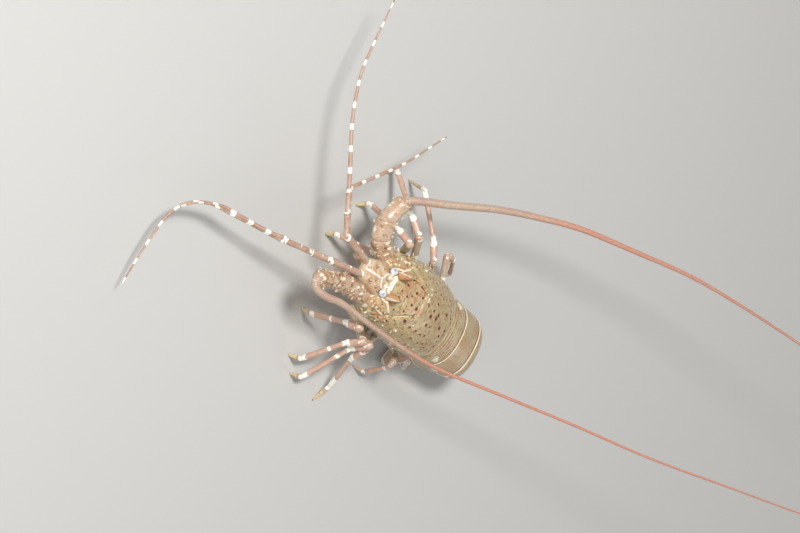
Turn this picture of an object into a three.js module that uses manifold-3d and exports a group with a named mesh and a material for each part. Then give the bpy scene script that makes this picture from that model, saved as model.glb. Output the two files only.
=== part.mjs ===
// An ornate spiny lobster at rest, life size, as a still museum model. Millimetres, +Z up.
// The head points along +X and the animal's left side along +Y. The shell is laid out level in
// its own body frame, whose origin is the rear edge of the carapace above the breast plate, and
// is then tipped head-up over the floor. Feelers, legs and tail fan are laid out over the floor.
import * as THREE from "three";
import Module from "manifold-3d";

const wasm = await Module();
wasm.setup();

// Body stance
const PITCH = 12;
const YAW = 0.8;
const BREAST_HEIGHT = 20;
const GAP = 0.3;

// Carapace along the body: distance from its rear edge, half width, top height, belly height
const CARAPACE = [
  [0, 29, 44.6, 9],
  [10, 31.2, 46.8, 7.6],
  [30, 33, 48.6, 7],
  [50, 32.8, 49.3, 7],
  [66, 31, 48.4, 7.4],
  [80, 28, 46, 8.6],
  [90, 25, 43.8, 10.4],
  [96, 22.4, 41.6, 12.4],
  [98.6, 20, 39.4, 14.6],
  [100, 16.5, 36.5, 17.5],
];
const CARAPACE_ARCH = 20;
const CARAPACE_RINGS = 16;

// Spines of the carapace, in pairs: distance from the rear edge, degrees from the top, length
const CARAPACE_SPINES = [
  [87, 18, 6],
  [80, 20, 5.2],
  [72, 21, 4.5],
  [63, 16, 3.5],
  [95, 52, 8],
  [87, 46, 5],
  [92, 78, 7.5],
  [82, 70, 5],
  [75, 50, 4],
  [70, 82, 4.5],
  [64, 60, 4],
  [52, 40, 3],
  [48, 74, 3.6],
  [36, 58, 3],
  [33, 84, 3.2],
  [24, 30, 2.4],
  [17, 66, 2.8],
  [8, 44, 2.2],
  [6, 80, 2.6],
];

// Breast plate between the legs: distance along the body, half width
const BREAST = [
  [0, 16],
  [10, 20],
  [24, 20.5],
  [38, 17.5],
  [52, 13.5],
  [62, 10],
  [70, 7],
];
const BREAST_THICKNESS = 6.4;

// Frontal horn, left: centre line in the body frame and radius
const HORN = [
  [92, 8.6, 36, 4.2],
  [94.7, 8.8, 42.5, 3.8],
  [96.6, 9, 47.6, 3],
  [98.4, 9.3, 52.2, 1.8],
  [100.6, 9.6, 56, 0.3],
];

// Eye
const EYE = [99.8, 9, 37.2];
const EYE_RADIUS = 3.3;
const EYESTALK_RADIUS = 2.3;

// Plate between the feelers: distance along the body, half width, top, underside
const PLATE = [
  [97, 13.4, 35.5, 20],
  [104, 13, 35, 19.5],
  [111, 11, 33, 19.5],
  [117, 9, 30.6, 20],
  [121, 6.6, 28, 21.5],
];
const PLATE_SPINES = [
  [114, 5.6, 6.5],
  [107, 7.6, 5],
];

// Tail: lengths of the six rings along the back, half widths at their ends, shell depth at their ends
const TAIL_LENGTHS = [19, 26, 22, 20, 19, 18];
const TAIL_HALF_WIDTHS = [27.6, 27.4, 26.4, 25, 23, 20.5, 17.8];
const TAIL_DEPTHS = [34, 31, 25, 24.2, 23.4, 22.4, 20];
const TAIL_TOP = 45.6;
const TAIL_ARCH = 17;
const TAIL_STEPS = 5;
const TAIL_FLOOR = 1;
// Side lobe of each ring: how far it hangs down and how far it spreads outward
const PLEURA = [
  [3, 3.6],
  [4.5, 4.4],
  [3.5, 2.6],
  [2.4, 1.6],
  [1.6, 1],
  [0.8, 0.5],
];

// Tail fan
const TELSON_LENGTH = 44;
const TELSON_HALF_WIDTH = 12.5;
const TELSON_THICKNESS = 2.3;
const PETAL_HALF_WIDTH = 10.5;
const PETAL_THICKNESS = 1.8;
// Petals: length, angle out from the middle, root beside the middle
const OUTER_PETAL = [22.5, 98, 11];
const INNER_PETAL = [38.5, 48.5, 9.5];

// Legs, first to last pair: root in the body frame, lengths of the four upper segments, girth
const LEG_ROOTS = [
  [61, 16, 3.5],
  [48, 20, 3],
  [35, 23.5, 3],
  [22, 26, 3],
  [9, 26, 4],
];
const LEG_LENGTHS = [
  [15, 33.5, 15.1, 33.6],
  [11.8, 33, 14.2, 39.5],
  [12.7, 33.2, 16.5, 46.4],
  [16.1, 26.8, 15.3, 40.4],
  [18.2, 26, 11.6, 24.8],
];
const LEG_GIRTH = [1.08, 1.02, 1, 0.96, 0.84];
// Pose of each leg: compass angle from the head toward the left and slope of each segment.
// The last segment is the claw, which comes down to the floor.
const LEFT_LEG_POSE = [
  [[48, -2], [47, 59], [46, -96], [45, -81], [27, -102]],
  [[54, -13], [58, 55], [73, -70], [80, -50], [82, -87]],
  [[39, -2], [49, 57], [87, -69], [86, -40], [87, -88]],
  [[27, 30], [45, 32], [122, -55], [129, -40], [99, -39]],
  [[169, -4], [39, 38], [150, -53], [114, -68], [-6, -58]],
];
const RIGHT_LEG_POSE = [
  [[-80, -10], [1, 26], [121, -15], [-7, -67], [130, -79]],
  [[-59, 19], [-17, 49], [-49, -54], [-73, -72], [-81, -108]],
  [[-71, 42], [-30, 30], [-54, -31], [-84, -49], [-69, -110]],
  [[-157, 25], [-22, 34], [-63, -13], [-63, -27], [-146, -70]],
  [[-164, 35], [-65, 2], [-178, -12], [-200, -35], [-238, -72]],
];

// Feelers: stout base segments as length, compass angle, slope; then the whip
const FEELER_ROOT = [96, 16.5, 21];
const FEELER_BASE_RADII = [8.1, 7.6, 7, 6.2];
const LEFT_FEELER_BASE = [[19, 3, 2], [18, 8, 3], [17.5, 24, 2]];
const RIGHT_FEELER_BASE = [[17.5, -30, 7], [15.5, -63, 10], [18.5, -106, 9]];
const LEFT_WHIP = [
  [6, 115, 2],
  [11, 168, 11],
  [17, 188, 7],
  [33, 178, 8],
  [50, 179, 10],
  [30, 184, 12],
  [58, 189, 16],
  [74, 189, 18],
  [76, 188, 19],
  [77, 191, 20],
  [79, 191, 19],
  [42, 192, 20],
];
const RIGHT_WHIP = [
  [9, -150, 9],
  [33, -156, 11],
  [48, -155, 12],
  [42, -160, 12],
  [35, -163, 13],
  [59, -169, 13],
  [60, -170, 13],
  [59, -175, 13],
  [78, -177, 11],
  [99, -178, 11],
];
// Radius of each whip at distances from its root
const LEFT_WHIP_RADII = [
  [0, 3.2],
  [20, 2.9],
  [60, 2.2],
  [110, 1.6],
  [200, 1.25],
  [560, 0.6],
];
const RIGHT_WHIP_RADII = [
  [0, 3.2],
  [60, 2.9],
  [200, 2.1],
  [350, 1.3],
  [530, 0.6],
];

// Small feelers: base segments and two lashes a side
const SMALL_FEELER_ROOT = [118.5, 4.6, 26];
const SMALL_FEELER_RADII = [3, 2.7, 2.4, 2.1];
const LEFT_SMALL_BASE = [[33, 9.4, -12], [15, 8, -24], [23, 8, -20]];
const RIGHT_SMALL_BASE = [[32, -12.6, -5], [18, -63, -10], [15, -65, -8]];
const LEFT_OUTER_LASH = [
  [13, 11, -15],
  [28, 4, -16],
  [17, 4, -18],
  [27, 24, -11],
  [17, 58, -10],
  [26, 88, -11],
  [34, 95, -10],
];
const LEFT_INNER_LASH = [[41, 5, -15], [35, 9, -3], [22, 33, 0]];
const RIGHT_OUTER_LASH = [
  [20, -58, -4],
  [33, -61, -7],
  [22, -68, -5],
  [15, -79, -8],
  [24, -88, -5],
  [36, -91, -5],
];
const RIGHT_INNER_LASH = [[9, -136, -10], [20, -139, -9], [36, -137, -8], [52, -130, -7]];

// Outer jaw leg, left: centre line in the body frame and radius
const JAW_LEG = [
  [68, 7.5, 4, 3.2],
  [84, 9, 1.3, 3.4],
  [100, 8.4, 3.8, 3],
  [111, 7.5, 11, 2.6],
  [114, 6, 16, 1.2],
];

const SHELL = 0xbca67a;
const SHELL_FRONT = 0xaf7a48;
const TAIL = 0xc0a680;
const PINK = 0xc79c88;
const FEELER = 0xbc9b7d;
const WHIP = 0xb88f7c;
const SALMON = 0xd48b6c;
const CREAM = 0xe6d8b4;
const EYE_DARK = 0x23201f;
const LASH = 0xb27c66;

const V = (x, y, z) => new THREE.Vector3(x, y, z);
const rad = THREE.MathUtils.degToRad;
const onFloor = new THREE.Matrix4()
  .makeTranslation(0, 0, BREAST_HEIGHT)
  .multiply(new THREE.Matrix4().makeRotationY(-rad(PITCH)));
const toFloor = (x, y, z) => V(x, y, z).applyMatrix4(onFloor);

// The shell of head and chest is turned a little toward the left over the legs and the tail.
const shellOnFloor = onFloor.clone().multiply(new THREE.Matrix4().makeRotationZ(rad(YAW)));
const shellToFloor = (x, y, z) => V(x, y, z).applyMatrix4(shellOnFloor);

// Values of a table at any place along its first column, on a smooth curve through its rows.
function along(table, x) {
  const last = table.length - 1;
  const at = THREE.MathUtils.clamp(x, table[0][0], table[last][0]);
  let i = 0;
  while (i < last - 1 && at > table[i + 1][0]) {
    i += 1;
  }
  const span = table[i + 1][0] - table[i][0];
  const t = (at - table[i][0]) / span;
  return table[i].slice(1).map((value, k) => {
    const column = k + 1;
    const slope = (j) => {
      const low = Math.max(j - 1, 0);
      const high = Math.min(j + 1, last);
      return (table[high][column] - table[low][column]) / (table[high][0] - table[low][0]);
    };
    const next = table[i + 1][column];
    const a = 2 * t ** 3 - 3 * t ** 2 + 1;
    const b = t ** 3 - 2 * t ** 2 + t;
    const c = 3 * t ** 2 - 2 * t ** 3;
    const d = t ** 3 - t ** 2;
    return a * value + b * span * slope(i) + c * next + d * span * slope(i + 1);
  });
}

// A closed solid from points and triangles, turned so that its faces look out.
function solidFrom(points, faces) {
  const build = (triangles) =>
    new wasm.Manifold(
      new wasm.Mesh({
        numProp: 3,
        vertProperties: new Float32Array(points.flatMap((p) => [p.x, p.y, p.z])),
        triVerts: new Uint32Array(triangles.flat()),
      }),
    );
  const made = build(faces);
  return made.volume() < 0 ? build(faces.map(([a, b, c]) => [a, c, b])) : made;
}

// A skin over rings of equally many points, closed with a fan over each end.
function loft(rings) {
  const count = rings[0].length;
  const points = rings.flat();
  const faces = [];
  for (let i = 0; i + 1 < rings.length; i += 1) {
    for (let j = 0; j < count; j += 1) {
      const a = i * count + j;
      const b = i * count + ((j + 1) % count);
      faces.push([a, b, b + count], [a, b + count, a + count]);
    }
  }
  const middle = (ring) => ring.reduce((sum, p) => sum.add(p), V(0, 0, 0)).divideScalar(count);
  const first = points.push(middle(rings[0])) - 1;
  const last = points.push(middle(rings[rings.length - 1])) - 1;
  const start = (rings.length - 1) * count;
  for (let j = 0; j < count; j += 1) {
    const next = (j + 1) % count;
    faces.push([first, next, j], [last, start + j, start + next]);
  }
  return solidFrom(points, faces);
}

// A round bar along a line of points. Each radius may be a number or [side to side, up and down].
function bar(line, radii, sides = 8) {
  let across = V(0, 0, 1).cross(line[1].clone().sub(line[0])).normalize();
  if (across.lengthSq() < 0.5) {
    across = V(0, 1, 0);
  }
  const rings = line.map((point, i) => {
    const before = line[Math.max(i - 1, 0)];
    const after = line[Math.min(i + 1, line.length - 1)];
    const tangent = after.clone().sub(before).normalize();
    across = across.clone().addScaledVector(tangent, -across.dot(tangent)).normalize();
    const up = tangent.clone().cross(across);
    const [wide, tall] = Array.isArray(radii[i]) ? radii[i] : [radii[i], radii[i]];
    return Array.from({ length: sides }, (_, j) => {
      const turn = (2 * Math.PI * j) / sides;
      return point
        .clone()
        .addScaledVector(across, wide * Math.cos(turn))
        .addScaledVector(up, tall * Math.sin(turn));
    });
  });
  return loft(rings);
}

// A bar with a smooth centre line, sampled evenly between two shares of its length.
function smoothBar(line, radiusAt, steps, sides, from = 0, to = 1) {
  const curve = new THREE.CatmullRomCurve3(line, false, "centripetal");
  const shares = Array.from({ length: steps + 1 }, (_, i) => from + ((to - from) * i) / steps);
  return bar(
    shares.map((u) => curve.getPointAt(u)),
    shares.map(radiusAt),
    sides,
  );
}

// A pointed thorn of five sides, sunk into the surface it stands on.
function thorn(foot, direction, length, radius = 0.26 * length) {
  const axis = direction.clone().normalize();
  const across = axis.clone().cross(V(0.3, 0.9, 0.2)).normalize();
  const up = axis.clone().cross(across);
  const sunk = foot.clone().addScaledVector(axis, -0.5 * length);
  const points = [0, 1, 2, 3, 4].map((i) => {
    const turn = rad(72 * i);
    return sunk
      .clone()
      .addScaledVector(across, 1.5 * radius * Math.cos(turn))
      .addScaledVector(up, 1.5 * radius * Math.sin(turn));
  });
  points.push(foot.clone().addScaledVector(axis, length));
  const flanks = [0, 1, 2, 3, 4].map((i) => [i, (i + 1) % 5, 5]);
  return solidFrom(points, [...flanks, [0, 2, 1], [0, 3, 2], [0, 4, 3]]);
}

const join = (pieces) => pieces.reduce((a, b) => a.add(b));
const cut = (piece, ...others) => others.reduce((a, b) => a.subtract(b), piece);

// The largest closed surface of a solid, without slivers left by a cut.
function whole(solid) {
  return solid.decompose().reduce((a, b) => (b.volume() > a.volume() ? b : a));
}

// Points of a walk of [length, compass angle, slope] steps.
function walk(start, steps) {
  const line = [start.clone()];
  for (const [length, compass, slope] of steps) {
    const flat = length * Math.cos(rad(slope));
    const step = V(
      flat * Math.cos(rad(compass)),
      flat * Math.sin(rad(compass)),
      length * Math.sin(rad(slope)),
    );
    line.push(line[line.length - 1].clone().add(step));
  }
  return line;
}

// Carapace: an arch with straight lower sides and a flat belly.
function carapacePoint(x, fromTop, grow = 0) {
  const [halfWidth, top, belly] = along(CARAPACE, x);
  const wide = halfWidth + grow;
  const waist = belly + 0.4 * (top - belly);
  const angle = rad(fromTop);
  const y = wide * Math.sign(Math.sin(angle)) * Math.abs(Math.sin(angle)) ** 0.92;
  const z = waist + (top + grow - waist) * Math.max(Math.cos(angle), 0) ** 0.92;
  return V(x, y, z);
}

function carapaceRing(x, grow = 0) {
  const [halfWidth, top, belly] = along(CARAPACE, x);
  const wide = halfWidth + grow;
  const waist = belly + 0.4 * (top - belly);
  const ring = [];
  for (let i = 0; i <= CARAPACE_ARCH; i += 1) {
    ring.push(carapacePoint(x, -90 + (180 * i) / CARAPACE_ARCH, grow));
  }
  const low = belly - grow;
  ring.push(V(x, 0.97 * wide, low + 0.6 * (waist - low)));
  ring.push(V(x, 0.89 * wide, low + 0.26 * (waist - low)));
  ring.push(V(x, 0.72 * wide, low));
  ring.push(V(x, 0.28 * wide, low));
  ring.push(V(x, -0.28 * wide, low));
  ring.push(V(x, -0.72 * wide, low));
  ring.push(V(x, -0.89 * wide, low + 0.26 * (waist - low)));
  ring.push(V(x, -0.97 * wide, low + 0.6 * (waist - low)));
  return ring.map((p) => p.applyMatrix4(shellOnFloor));
}

function carapaceBody(grow = 0) {
  const end = CARAPACE[CARAPACE.length - 1][0];
  const rings = [];
  for (let i = 0; i <= CARAPACE_RINGS; i += 1) {
    const share = i / CARAPACE_RINGS;
    rings.push(carapaceRing(end * (1.35 * share - 0.35 * share ** 2), grow));
  }
  if (grow > 0) {
    const ahead = shellToFloor(grow, 0, 0).sub(shellToFloor(0, 0, 0));
    rings.unshift(rings[0].map((p) => p.clone().sub(ahead)));
    rings.push(rings[rings.length - 1].map((p) => p.clone().add(ahead)));
  }
  return loft(rings);
}

function carapaceThorns() {
  const pieces = [];
  for (const [x, fromTop, length] of CARAPACE_SPINES) {
    for (const side of [1, -1]) {
      const foot = carapacePoint(x, side * fromTop);
      const beside = carapacePoint(x, side * fromTop + 2);
      const ahead = carapacePoint(x + 1, side * fromTop);
      const out = ahead.sub(foot).cross(beside.sub(foot)).multiplyScalar(-side).normalize();
      if (out.z < 0 && fromTop < 80) {
        out.negate();
      }
      const lean = out.add(V(0.75, 0, 0));
      const root = foot.clone().applyMatrix4(shellOnFloor);
      const tip = foot.clone().add(lean).applyMatrix4(shellOnFloor);
      pieces.push(thorn(root, tip.sub(root), length));
    }
  }
  return pieces;
}

function breastPlate(grow = 0) {
  const rings = [];
  for (let i = 0; i <= 8; i += 1) {
    const x = 8.75 * i;
    const [half] = along(BREAST, x);
    const wide = half + grow;
    const top = BREAST_THICKNESS + grow;
    const ring = [
      [wide, top],
      [wide + 0.6, 3.4],
      [0.8 * wide, 0.6 - grow],
      [0, -grow],
      [-0.8 * wide, 0.6 - grow],
      [-wide - 0.6, 3.4],
      [-wide, top],
    ];
    rings.push(ring.map(([y, z]) => shellToFloor(x, y, z)));
  }
  return loft(rings);
}

// Frontal horns, eyes and the plate between the feelers
const bodyLine = (rows, side) => rows.map(([x, y, z]) => shellToFloor(x, side * y, z));

function horn(side, grow = 0) {
  const radii = HORN.map((row) => [0.86 * row[3] + grow, row[3] + grow]);
  return bar(bodyLine(HORN, side), radii, 10);
}

function eye(side, grow = 0) {
  const [x, y, z] = EYE;
  const inward = V(-0.45, -0.85 * side, 0.1).normalize();
  const centre = shellToFloor(x, side * y, z);
  const places = [-0.97, -0.74, -0.3, 0.2, 0.65, 0.92];
  const line = places.map((p) => centre.clone().addScaledVector(inward, p * EYE_RADIUS));
  const radii = places.map((p) => Math.max(EYE_RADIUS * Math.sqrt(1 - p * p), 0.6) + grow);
  return bar(line, radii.map((r) => [r * 1.12, r]), 10);
}

function eyestalk(side) {
  const [x, y, z] = EYE;
  const line = bodyLine([[x + 0.8, 1.2, z], [x + 0.6, 5.6, z], [x, y, z]], side);
  return bar(line, [0.8 * EYESTALK_RADIUS, EYESTALK_RADIUS, EYESTALK_RADIUS], 8);
}

function feelerPlate(grow = 0) {
  const rings = PLATE.map(([x, half, top, under]) => {
    const wide = half + grow;
    const high = top + grow;
    const low = under - grow;
    const ring = [
      [wide, low + 0.45 * (high - low)],
      [0.9 * wide, low + 0.85 * (high - low)],
      [0.5 * wide, high],
      [-0.5 * wide, high],
      [-0.9 * wide, low + 0.85 * (high - low)],
      [-wide, low + 0.45 * (high - low)],
      [-0.7 * wide, low],
      [0.7 * wide, low],
    ];
    return ring.map(([y, z]) => shellToFloor(x, y, z));
  });
  return loft(rings);
}

function plateThorns() {
  const pieces = [];
  for (const [x, y, length] of PLATE_SPINES) {
    for (const side of [1, -1]) {
      const [, top] = along(PLATE, x);
      const foot = shellToFloor(x, side * y, top - 1);
      pieces.push(thorn(foot, V(0.55, 0.12 * side, 0.85), length));
    }
  }
  return pieces;
}

// Tail rings: planes across the line of the back, which runs straight and then curls under.
const backStart = toFloor(0, 0, TAIL_TOP);
const straight = TAIL_LENGTHS[0] + TAIL_LENGTHS[1];
const backward = V(-Math.cos(rad(PITCH)), 0, -Math.sin(rad(PITCH)));
const curlStart = backStart.clone().addScaledVector(backward, straight);
const curlRadius = (curlStart.z - TAIL_FLOOR) / (1 + Math.cos(rad(PITCH)));
const curlLength = TAIL_LENGTHS.slice(2).reduce((a, b) => a + b);
const curlTurn = rad(180 - PITCH);

function backFrame(distance) {
  const turn = Math.max(0, (distance - straight) / curlLength) * curlTurn;
  const heading = Math.PI + rad(PITCH) + turn;
  const travel = V(Math.cos(heading), 0, Math.sin(heading));
  const inward = V(-Math.sin(heading), 0, Math.cos(heading));
  if (turn === 0) {
    return { point: backStart.clone().addScaledVector(backward, distance), travel, inward };
  }
  const first = Math.PI + rad(PITCH);
  const centre = curlStart
    .clone()
    .add(V(-Math.sin(first), 0, Math.cos(first)).multiplyScalar(curlRadius));
  return { point: centre.addScaledVector(inward, -curlRadius), travel, inward };
}

function tailRing(distance, half, depth, flap, spread, shift = 0, swell = 0) {
  const { point, travel, inward } = backFrame(distance);
  const origin = point.clone().addScaledVector(travel, shift);
  const shoulder = 0.62 * depth;
  const ring = [];
  const put = (y, down) => ring.push(origin.clone().addScaledVector(inward, down).add(V(0, y, 0)));
  for (let i = 0; i <= TAIL_ARCH; i += 1) {
    const angle = -Math.PI / 2 + (Math.PI * i) / TAIL_ARCH;
    const out = Math.abs(Math.sin(angle)) ** 0.86;
    const y = (half + swell + 0.3 * spread * out ** 6) * Math.sign(Math.sin(angle)) * out;
    put(y, shoulder - (shoulder + swell) * Math.max(Math.cos(angle), 0) ** 0.86);
  }
  put(half + swell - 0.4 + 0.8 * spread, depth + 0.6 * flap);
  put(half - 1.4 + spread, depth + flap);
  put(half - 4.8 + 0.5 * spread, depth + 0.5 * flap);
  put(-half + 4.8 - 0.5 * spread, depth + 0.5 * flap);
  put(-half + 1.4 - spread, depth + flap);
  put(-half - swell + 0.4 - 0.8 * spread, depth + 0.6 * flap);
  return ring;
}

function tailSegment(index) {
  const before = TAIL_LENGTHS.slice(0, index).reduce((a, b) => a + b, 0);
  const length = TAIL_LENGTHS[index];
  const rings = [];
  for (let i = 0; i <= TAIL_STEPS; i += 1) {
    const t = i / TAIL_STEPS;
    const half = THREE.MathUtils.lerp(TAIL_HALF_WIDTHS[index], TAIL_HALF_WIDTHS[index + 1], t);
    const depth = THREE.MathUtils.lerp(TAIL_DEPTHS[index], TAIL_DEPTHS[index + 1], t);
    const lobe = Math.sin(Math.PI * Math.min(1, 0.12 + 0.8 * t));
    const [flap, spread] = PLEURA[index].map((size) => size * lobe);
    const shift = i === 0 ? 0.5 * GAP : i === TAIL_STEPS ? -0.5 * GAP : 0;
    const swell = 0.9 * t ** 2;
    rings.push(tailRing(before + length * t, half - 0.9, depth, flap, spread, shift, swell));
  }
  return loft(rings);
}

// Tail fan, flat on the floor under the body
const fanRoot = backFrame(straight + curlLength).point;

function telson(grow = 0) {
  const steps = 8;
  const rings = [];
  for (let i = 0; i <= steps; i += 1) {
    const t = i / steps;
    const x = fanRoot.x + GAP + TELSON_LENGTH * t - grow;
    const round = t < 0.7 ? 1 : Math.sqrt(1 - ((t - 0.7) / 0.315) ** 2);
    const half = (TELSON_HALF_WIDTH + 2 * t) * round + grow;
    const top = (TELSON_THICKNESS + 1.6 * (1 - t) ** 3) + grow;
    rings.push([
      V(x, half, 0),
      V(x, half, 0.8 * top),
      V(x, 0.8 * half, top),
      V(x, -0.8 * half, top),
      V(x, -half, 0.8 * top),
      V(x, -half, 0),
    ]);
  }
  return loft(rings);
}

function petal(side, [length, angle, rootY], base, rootThickness) {
  const root = V(fanRoot.x + 0.5, side * rootY, base);
  const ahead = V(Math.cos(rad(angle)), side * Math.sin(rad(angle)), 0);
  const beside = V(-ahead.y, ahead.x, 0);
  const steps = 9;
  const rings = [];
  for (let i = 0; i <= steps; i += 1) {
    const t = i / steps;
    const half = PETAL_HALF_WIDTH * Math.max(0.08, Math.sin(Math.PI * (0.14 + 0.84 * t ** 0.8)) ** 0.62);
    const top = PETAL_THICKNESS + rootThickness * (1 - t) ** 4;
    const at = root.clone().addScaledVector(ahead, length * t);
    const edge = (share, z) => at.clone().addScaledVector(beside, share * half).add(V(0, 0, z));
    rings.push([
      edge(1, 0),
      edge(1, 0.6 * top),
      edge(0.7, top),
      edge(-0.7, top),
      edge(-1, 0.6 * top),
      edge(-1, 0),
    ]);
  }
  return loft(rings);
}

// Legs
const floorBlock = (() => {
  const box = new THREE.BoxGeometry(1800, 1800, 60);
  box.translate(0, 0, -30);
  const at = box.getAttribute("position");
  const corners = new Map();
  const points = [];
  const place = Array.from({ length: at.count }, (_, i) => {
    const key = [at.getX(i), at.getY(i), at.getZ(i)].join();
    if (!corners.has(key)) {
      corners.set(key, points.push(V(at.getX(i), at.getY(i), at.getZ(i))) - 1);
    }
    return corners.get(key);
  });
  const faces = [];
  for (let i = 0; i < box.index.count; i += 3) {
    faces.push([0, 1, 2].map((k) => place[box.index.getX(i + k)]));
  }
  return solidFrom(points, faces);
})();

// A leg segment: a bar with swollen ends, given by radii at shares of its length.
function segment(start, end, profile, girth, sides = 8, grow = 0) {
  const line = profile.map(([t]) => start.clone().lerp(end, t));
  const radii = profile.map(([, r]) => r * girth + grow);
  return bar(line, radii, sides);
}

const HIP = [[-0.6, 3.5], [0.1, 3.8], [0.85, 3.7], [1.06, 2.9]];
const THIGH = [[-0.08, 2.6], [0.06, 3.2], [0.3, 2.85], [0.88, 3.35], [1, 3.1], [1.05, 1.9]];
const KNEE = [[-0.1, 1.7], [0.02, 2.6], [0.75, 2.9], [1, 2.6], [1.08, 1.5]];
const SHANK = [[-0.04, 1.5], [0.02, 2.15], [0.14, 1.9], [0.9, 2.2], [1, 1.9]];
const CLAW = [[-0.12, 1.4], [0.05, 1.9], [0.5, 1.5], [1, 0.9], [1.09, 0.75]];

function legJoints(pair, side) {
  const [x, y, z] = LEG_ROOTS[pair];
  const pose = side > 0 ? LEFT_LEG_POSE[pair] : RIGHT_LEG_POSE[pair];
  const steps = LEG_LENGTHS[pair].map((length, i) => [length, ...pose[i]]);
  const line = walk(toFloor(x, side * y, z), steps);
  const [compass, slope] = pose[4];
  const drop = line[4].z / Math.sin(rad(-slope));
  return [...line, walk(line[4], [[drop, compass, slope]])[1]];
}

function upperLeg(pair, side, grow = 0) {
  const [root, hip, knee] = legJoints(pair, side);
  const girth = LEG_GIRTH[pair];
  const inner = segment(root, hip, HIP, girth, 7, grow);
  const outer = segment(hip, knee, THIGH, girth, 7, grow);
  return inner.add(outer);
}

function lowerLeg(pair, side) {
  const [, , knee, wrist, ankle, tip] = legJoints(pair, side);
  const girth = LEG_GIRTH[pair];
  return join([
    segment(knee, wrist, KNEE, girth, 7),
    segment(wrist, ankle, SHANK, girth, 7),
    segment(ankle, tip, CLAW, girth, 7),
  ]);
}

// The thorn on top of the knee
function kneeThorn(pair, side, grow = 0) {
  const [, hip, knee] = legJoints(pair, side);
  const travel = knee.clone().sub(hip).normalize();
  const foot = hip.clone().lerp(knee, 0.93).add(V(0, 0, 2));
  return thorn(foot, travel.multiplyScalar(0.6).add(V(0, 0, 0.6)), 3.8 + 2 * grow, 1 + grow);
}

// Feelers
function feelerBaseLine(side) {
  const [x, y, z] = FEELER_ROOT;
  const steps = side > 0 ? LEFT_FEELER_BASE : RIGHT_FEELER_BASE;
  return walk(toFloor(x, side * y, z), steps);
}

function feelerBase(side, index, grow = 0) {
  const line = feelerBaseLine(side);
  const start = line[index];
  const end = line[index + 1];
  const axis = end.clone().sub(start);
  const length = axis.length();
  const r0 = FEELER_BASE_RADII[index];
  const r1 = FEELER_BASE_RADII[index + 1];
  const back = index === 0 ? -0.6 : -0.1;
  const profile = [
    [back, 0.8 * r0],
    [0.04, 0.96 * r0],
    [0.3, r0],
    [0.7, 0.5 * (r0 + r1)],
    [0.92, 1.06 * r1],
    [1.04, 0.9 * r1],
    [1.04 + 1.4 / length, 0.6 * r1],
  ];
  return segment(start, end, profile, 1, 11, grow);
}

function feelerThorns(side, index, grow = 0) {
  const line = feelerBaseLine(side);
  const start = line[index];
  const axis = line[index + 1].clone().sub(start);
  const travel = axis.clone().normalize();
  const across = V(0, 0, 1).cross(travel).normalize();
  const up = travel.clone().cross(across);
  const places = [
    [0.78, 84, 4.6],
    [0.76, 28, 4.2],
    [0.76, 150, 4.2],
    [0.34, 62, 3.4],
    [0.4, 122, 3.4],
    [0.7, -30, 3.6],
    [0.7, 212, 3.6],
  ];
  return places.map(([t, turn, length], i) => {
    const angle = rad(turn + 6 * Math.sin(7 * i + 3 * index + side));
    const out = across.clone().multiplyScalar(Math.cos(angle)).addScaledVector(up, Math.sin(angle));
    const radius = THREE.MathUtils.lerp(FEELER_BASE_RADII[index], FEELER_BASE_RADII[index + 1], t);
    const foot = start.clone().addScaledVector(axis, t).addScaledVector(out, 0.94 * radius);
    return thorn(foot, out.addScaledVector(travel, 0.7), length + 2 * grow, 1.1 + grow);
  });
}

function whipLine(side) {
  const line = feelerBaseLine(side);
  const end = line[3];
  const travel = end.clone().sub(line[2]).normalize();
  const start = end.clone().addScaledVector(travel, 1.5);
  return walk(start, side > 0 ? LEFT_WHIP : RIGHT_WHIP);
}

function whip(side, third, grow = 0) {
  const line = whipLine(side);
  const curve = new THREE.CatmullRomCurve3(line, false, "centripetal");
  const share = (0.5 * GAP) / curve.getLength();
  const from = third / 3 + (third > 0 ? share : 0);
  const to = (third + 1) / 3 - (third < 2 ? share : 0);
  const radii = side > 0 ? LEFT_WHIP_RADII : RIGHT_WHIP_RADII;
  const radius = (u) => along(radii, u * curve.getLength())[0] + grow;
  return smoothBar(line, radius, third === 0 ? 18 : 11, 7, from, to);
}

// Small feelers
function smallBaseLine(side) {
  const [x, y, z] = SMALL_FEELER_ROOT;
  return walk(shellToFloor(x, side * y, z), side > 0 ? LEFT_SMALL_BASE : RIGHT_SMALL_BASE);
}

function smallBase(side, grow = 0) {
  const line = smallBaseLine(side);
  const pieces = [0, 1, 2].map((i) => {
    const r = SMALL_FEELER_RADII[i];
    const next = SMALL_FEELER_RADII[i + 1];
    const profile = [
      [i === 0 ? -0.15 : -0.06, 0.85 * r],
      [0.05, 0.9 * r],
      [0.5, 0.86 * r],
      [0.95, 1.05 * next],
      [1.05, 0.7 * next],
    ];
    return segment(line[i], line[i + 1], profile, 1, 7, grow);
  });
  return join(pieces);
}

function lash(side, outer, grow = 0) {
  const line = smallBaseLine(side);
  const end = line[3];
  const travel = end.clone().sub(line[2]).normalize();
  const start = end.clone().addScaledVector(travel, 0.6);
  const beside = outer ? -1.2 * side : 1.2 * side;
  start.add(V(0, beside, outer ? 0.4 : -0.4));
  const steps = outer
    ? side > 0 ? LEFT_OUTER_LASH : RIGHT_OUTER_LASH
    : side > 0 ? LEFT_INNER_LASH : RIGHT_INNER_LASH;
  const radius = (u) => (outer ? 1.35 : 1.1) * (1 - u) ** 0.7 + 0.42 + grow;
  return smoothBar(walk(start, steps), radius, outer ? 18 : 12, 6);
}

function jawLeg(side) {
  return bar(bodyLine(JAW_LEG, side), JAW_LEG.map((row) => row[3]), 8);
}

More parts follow.
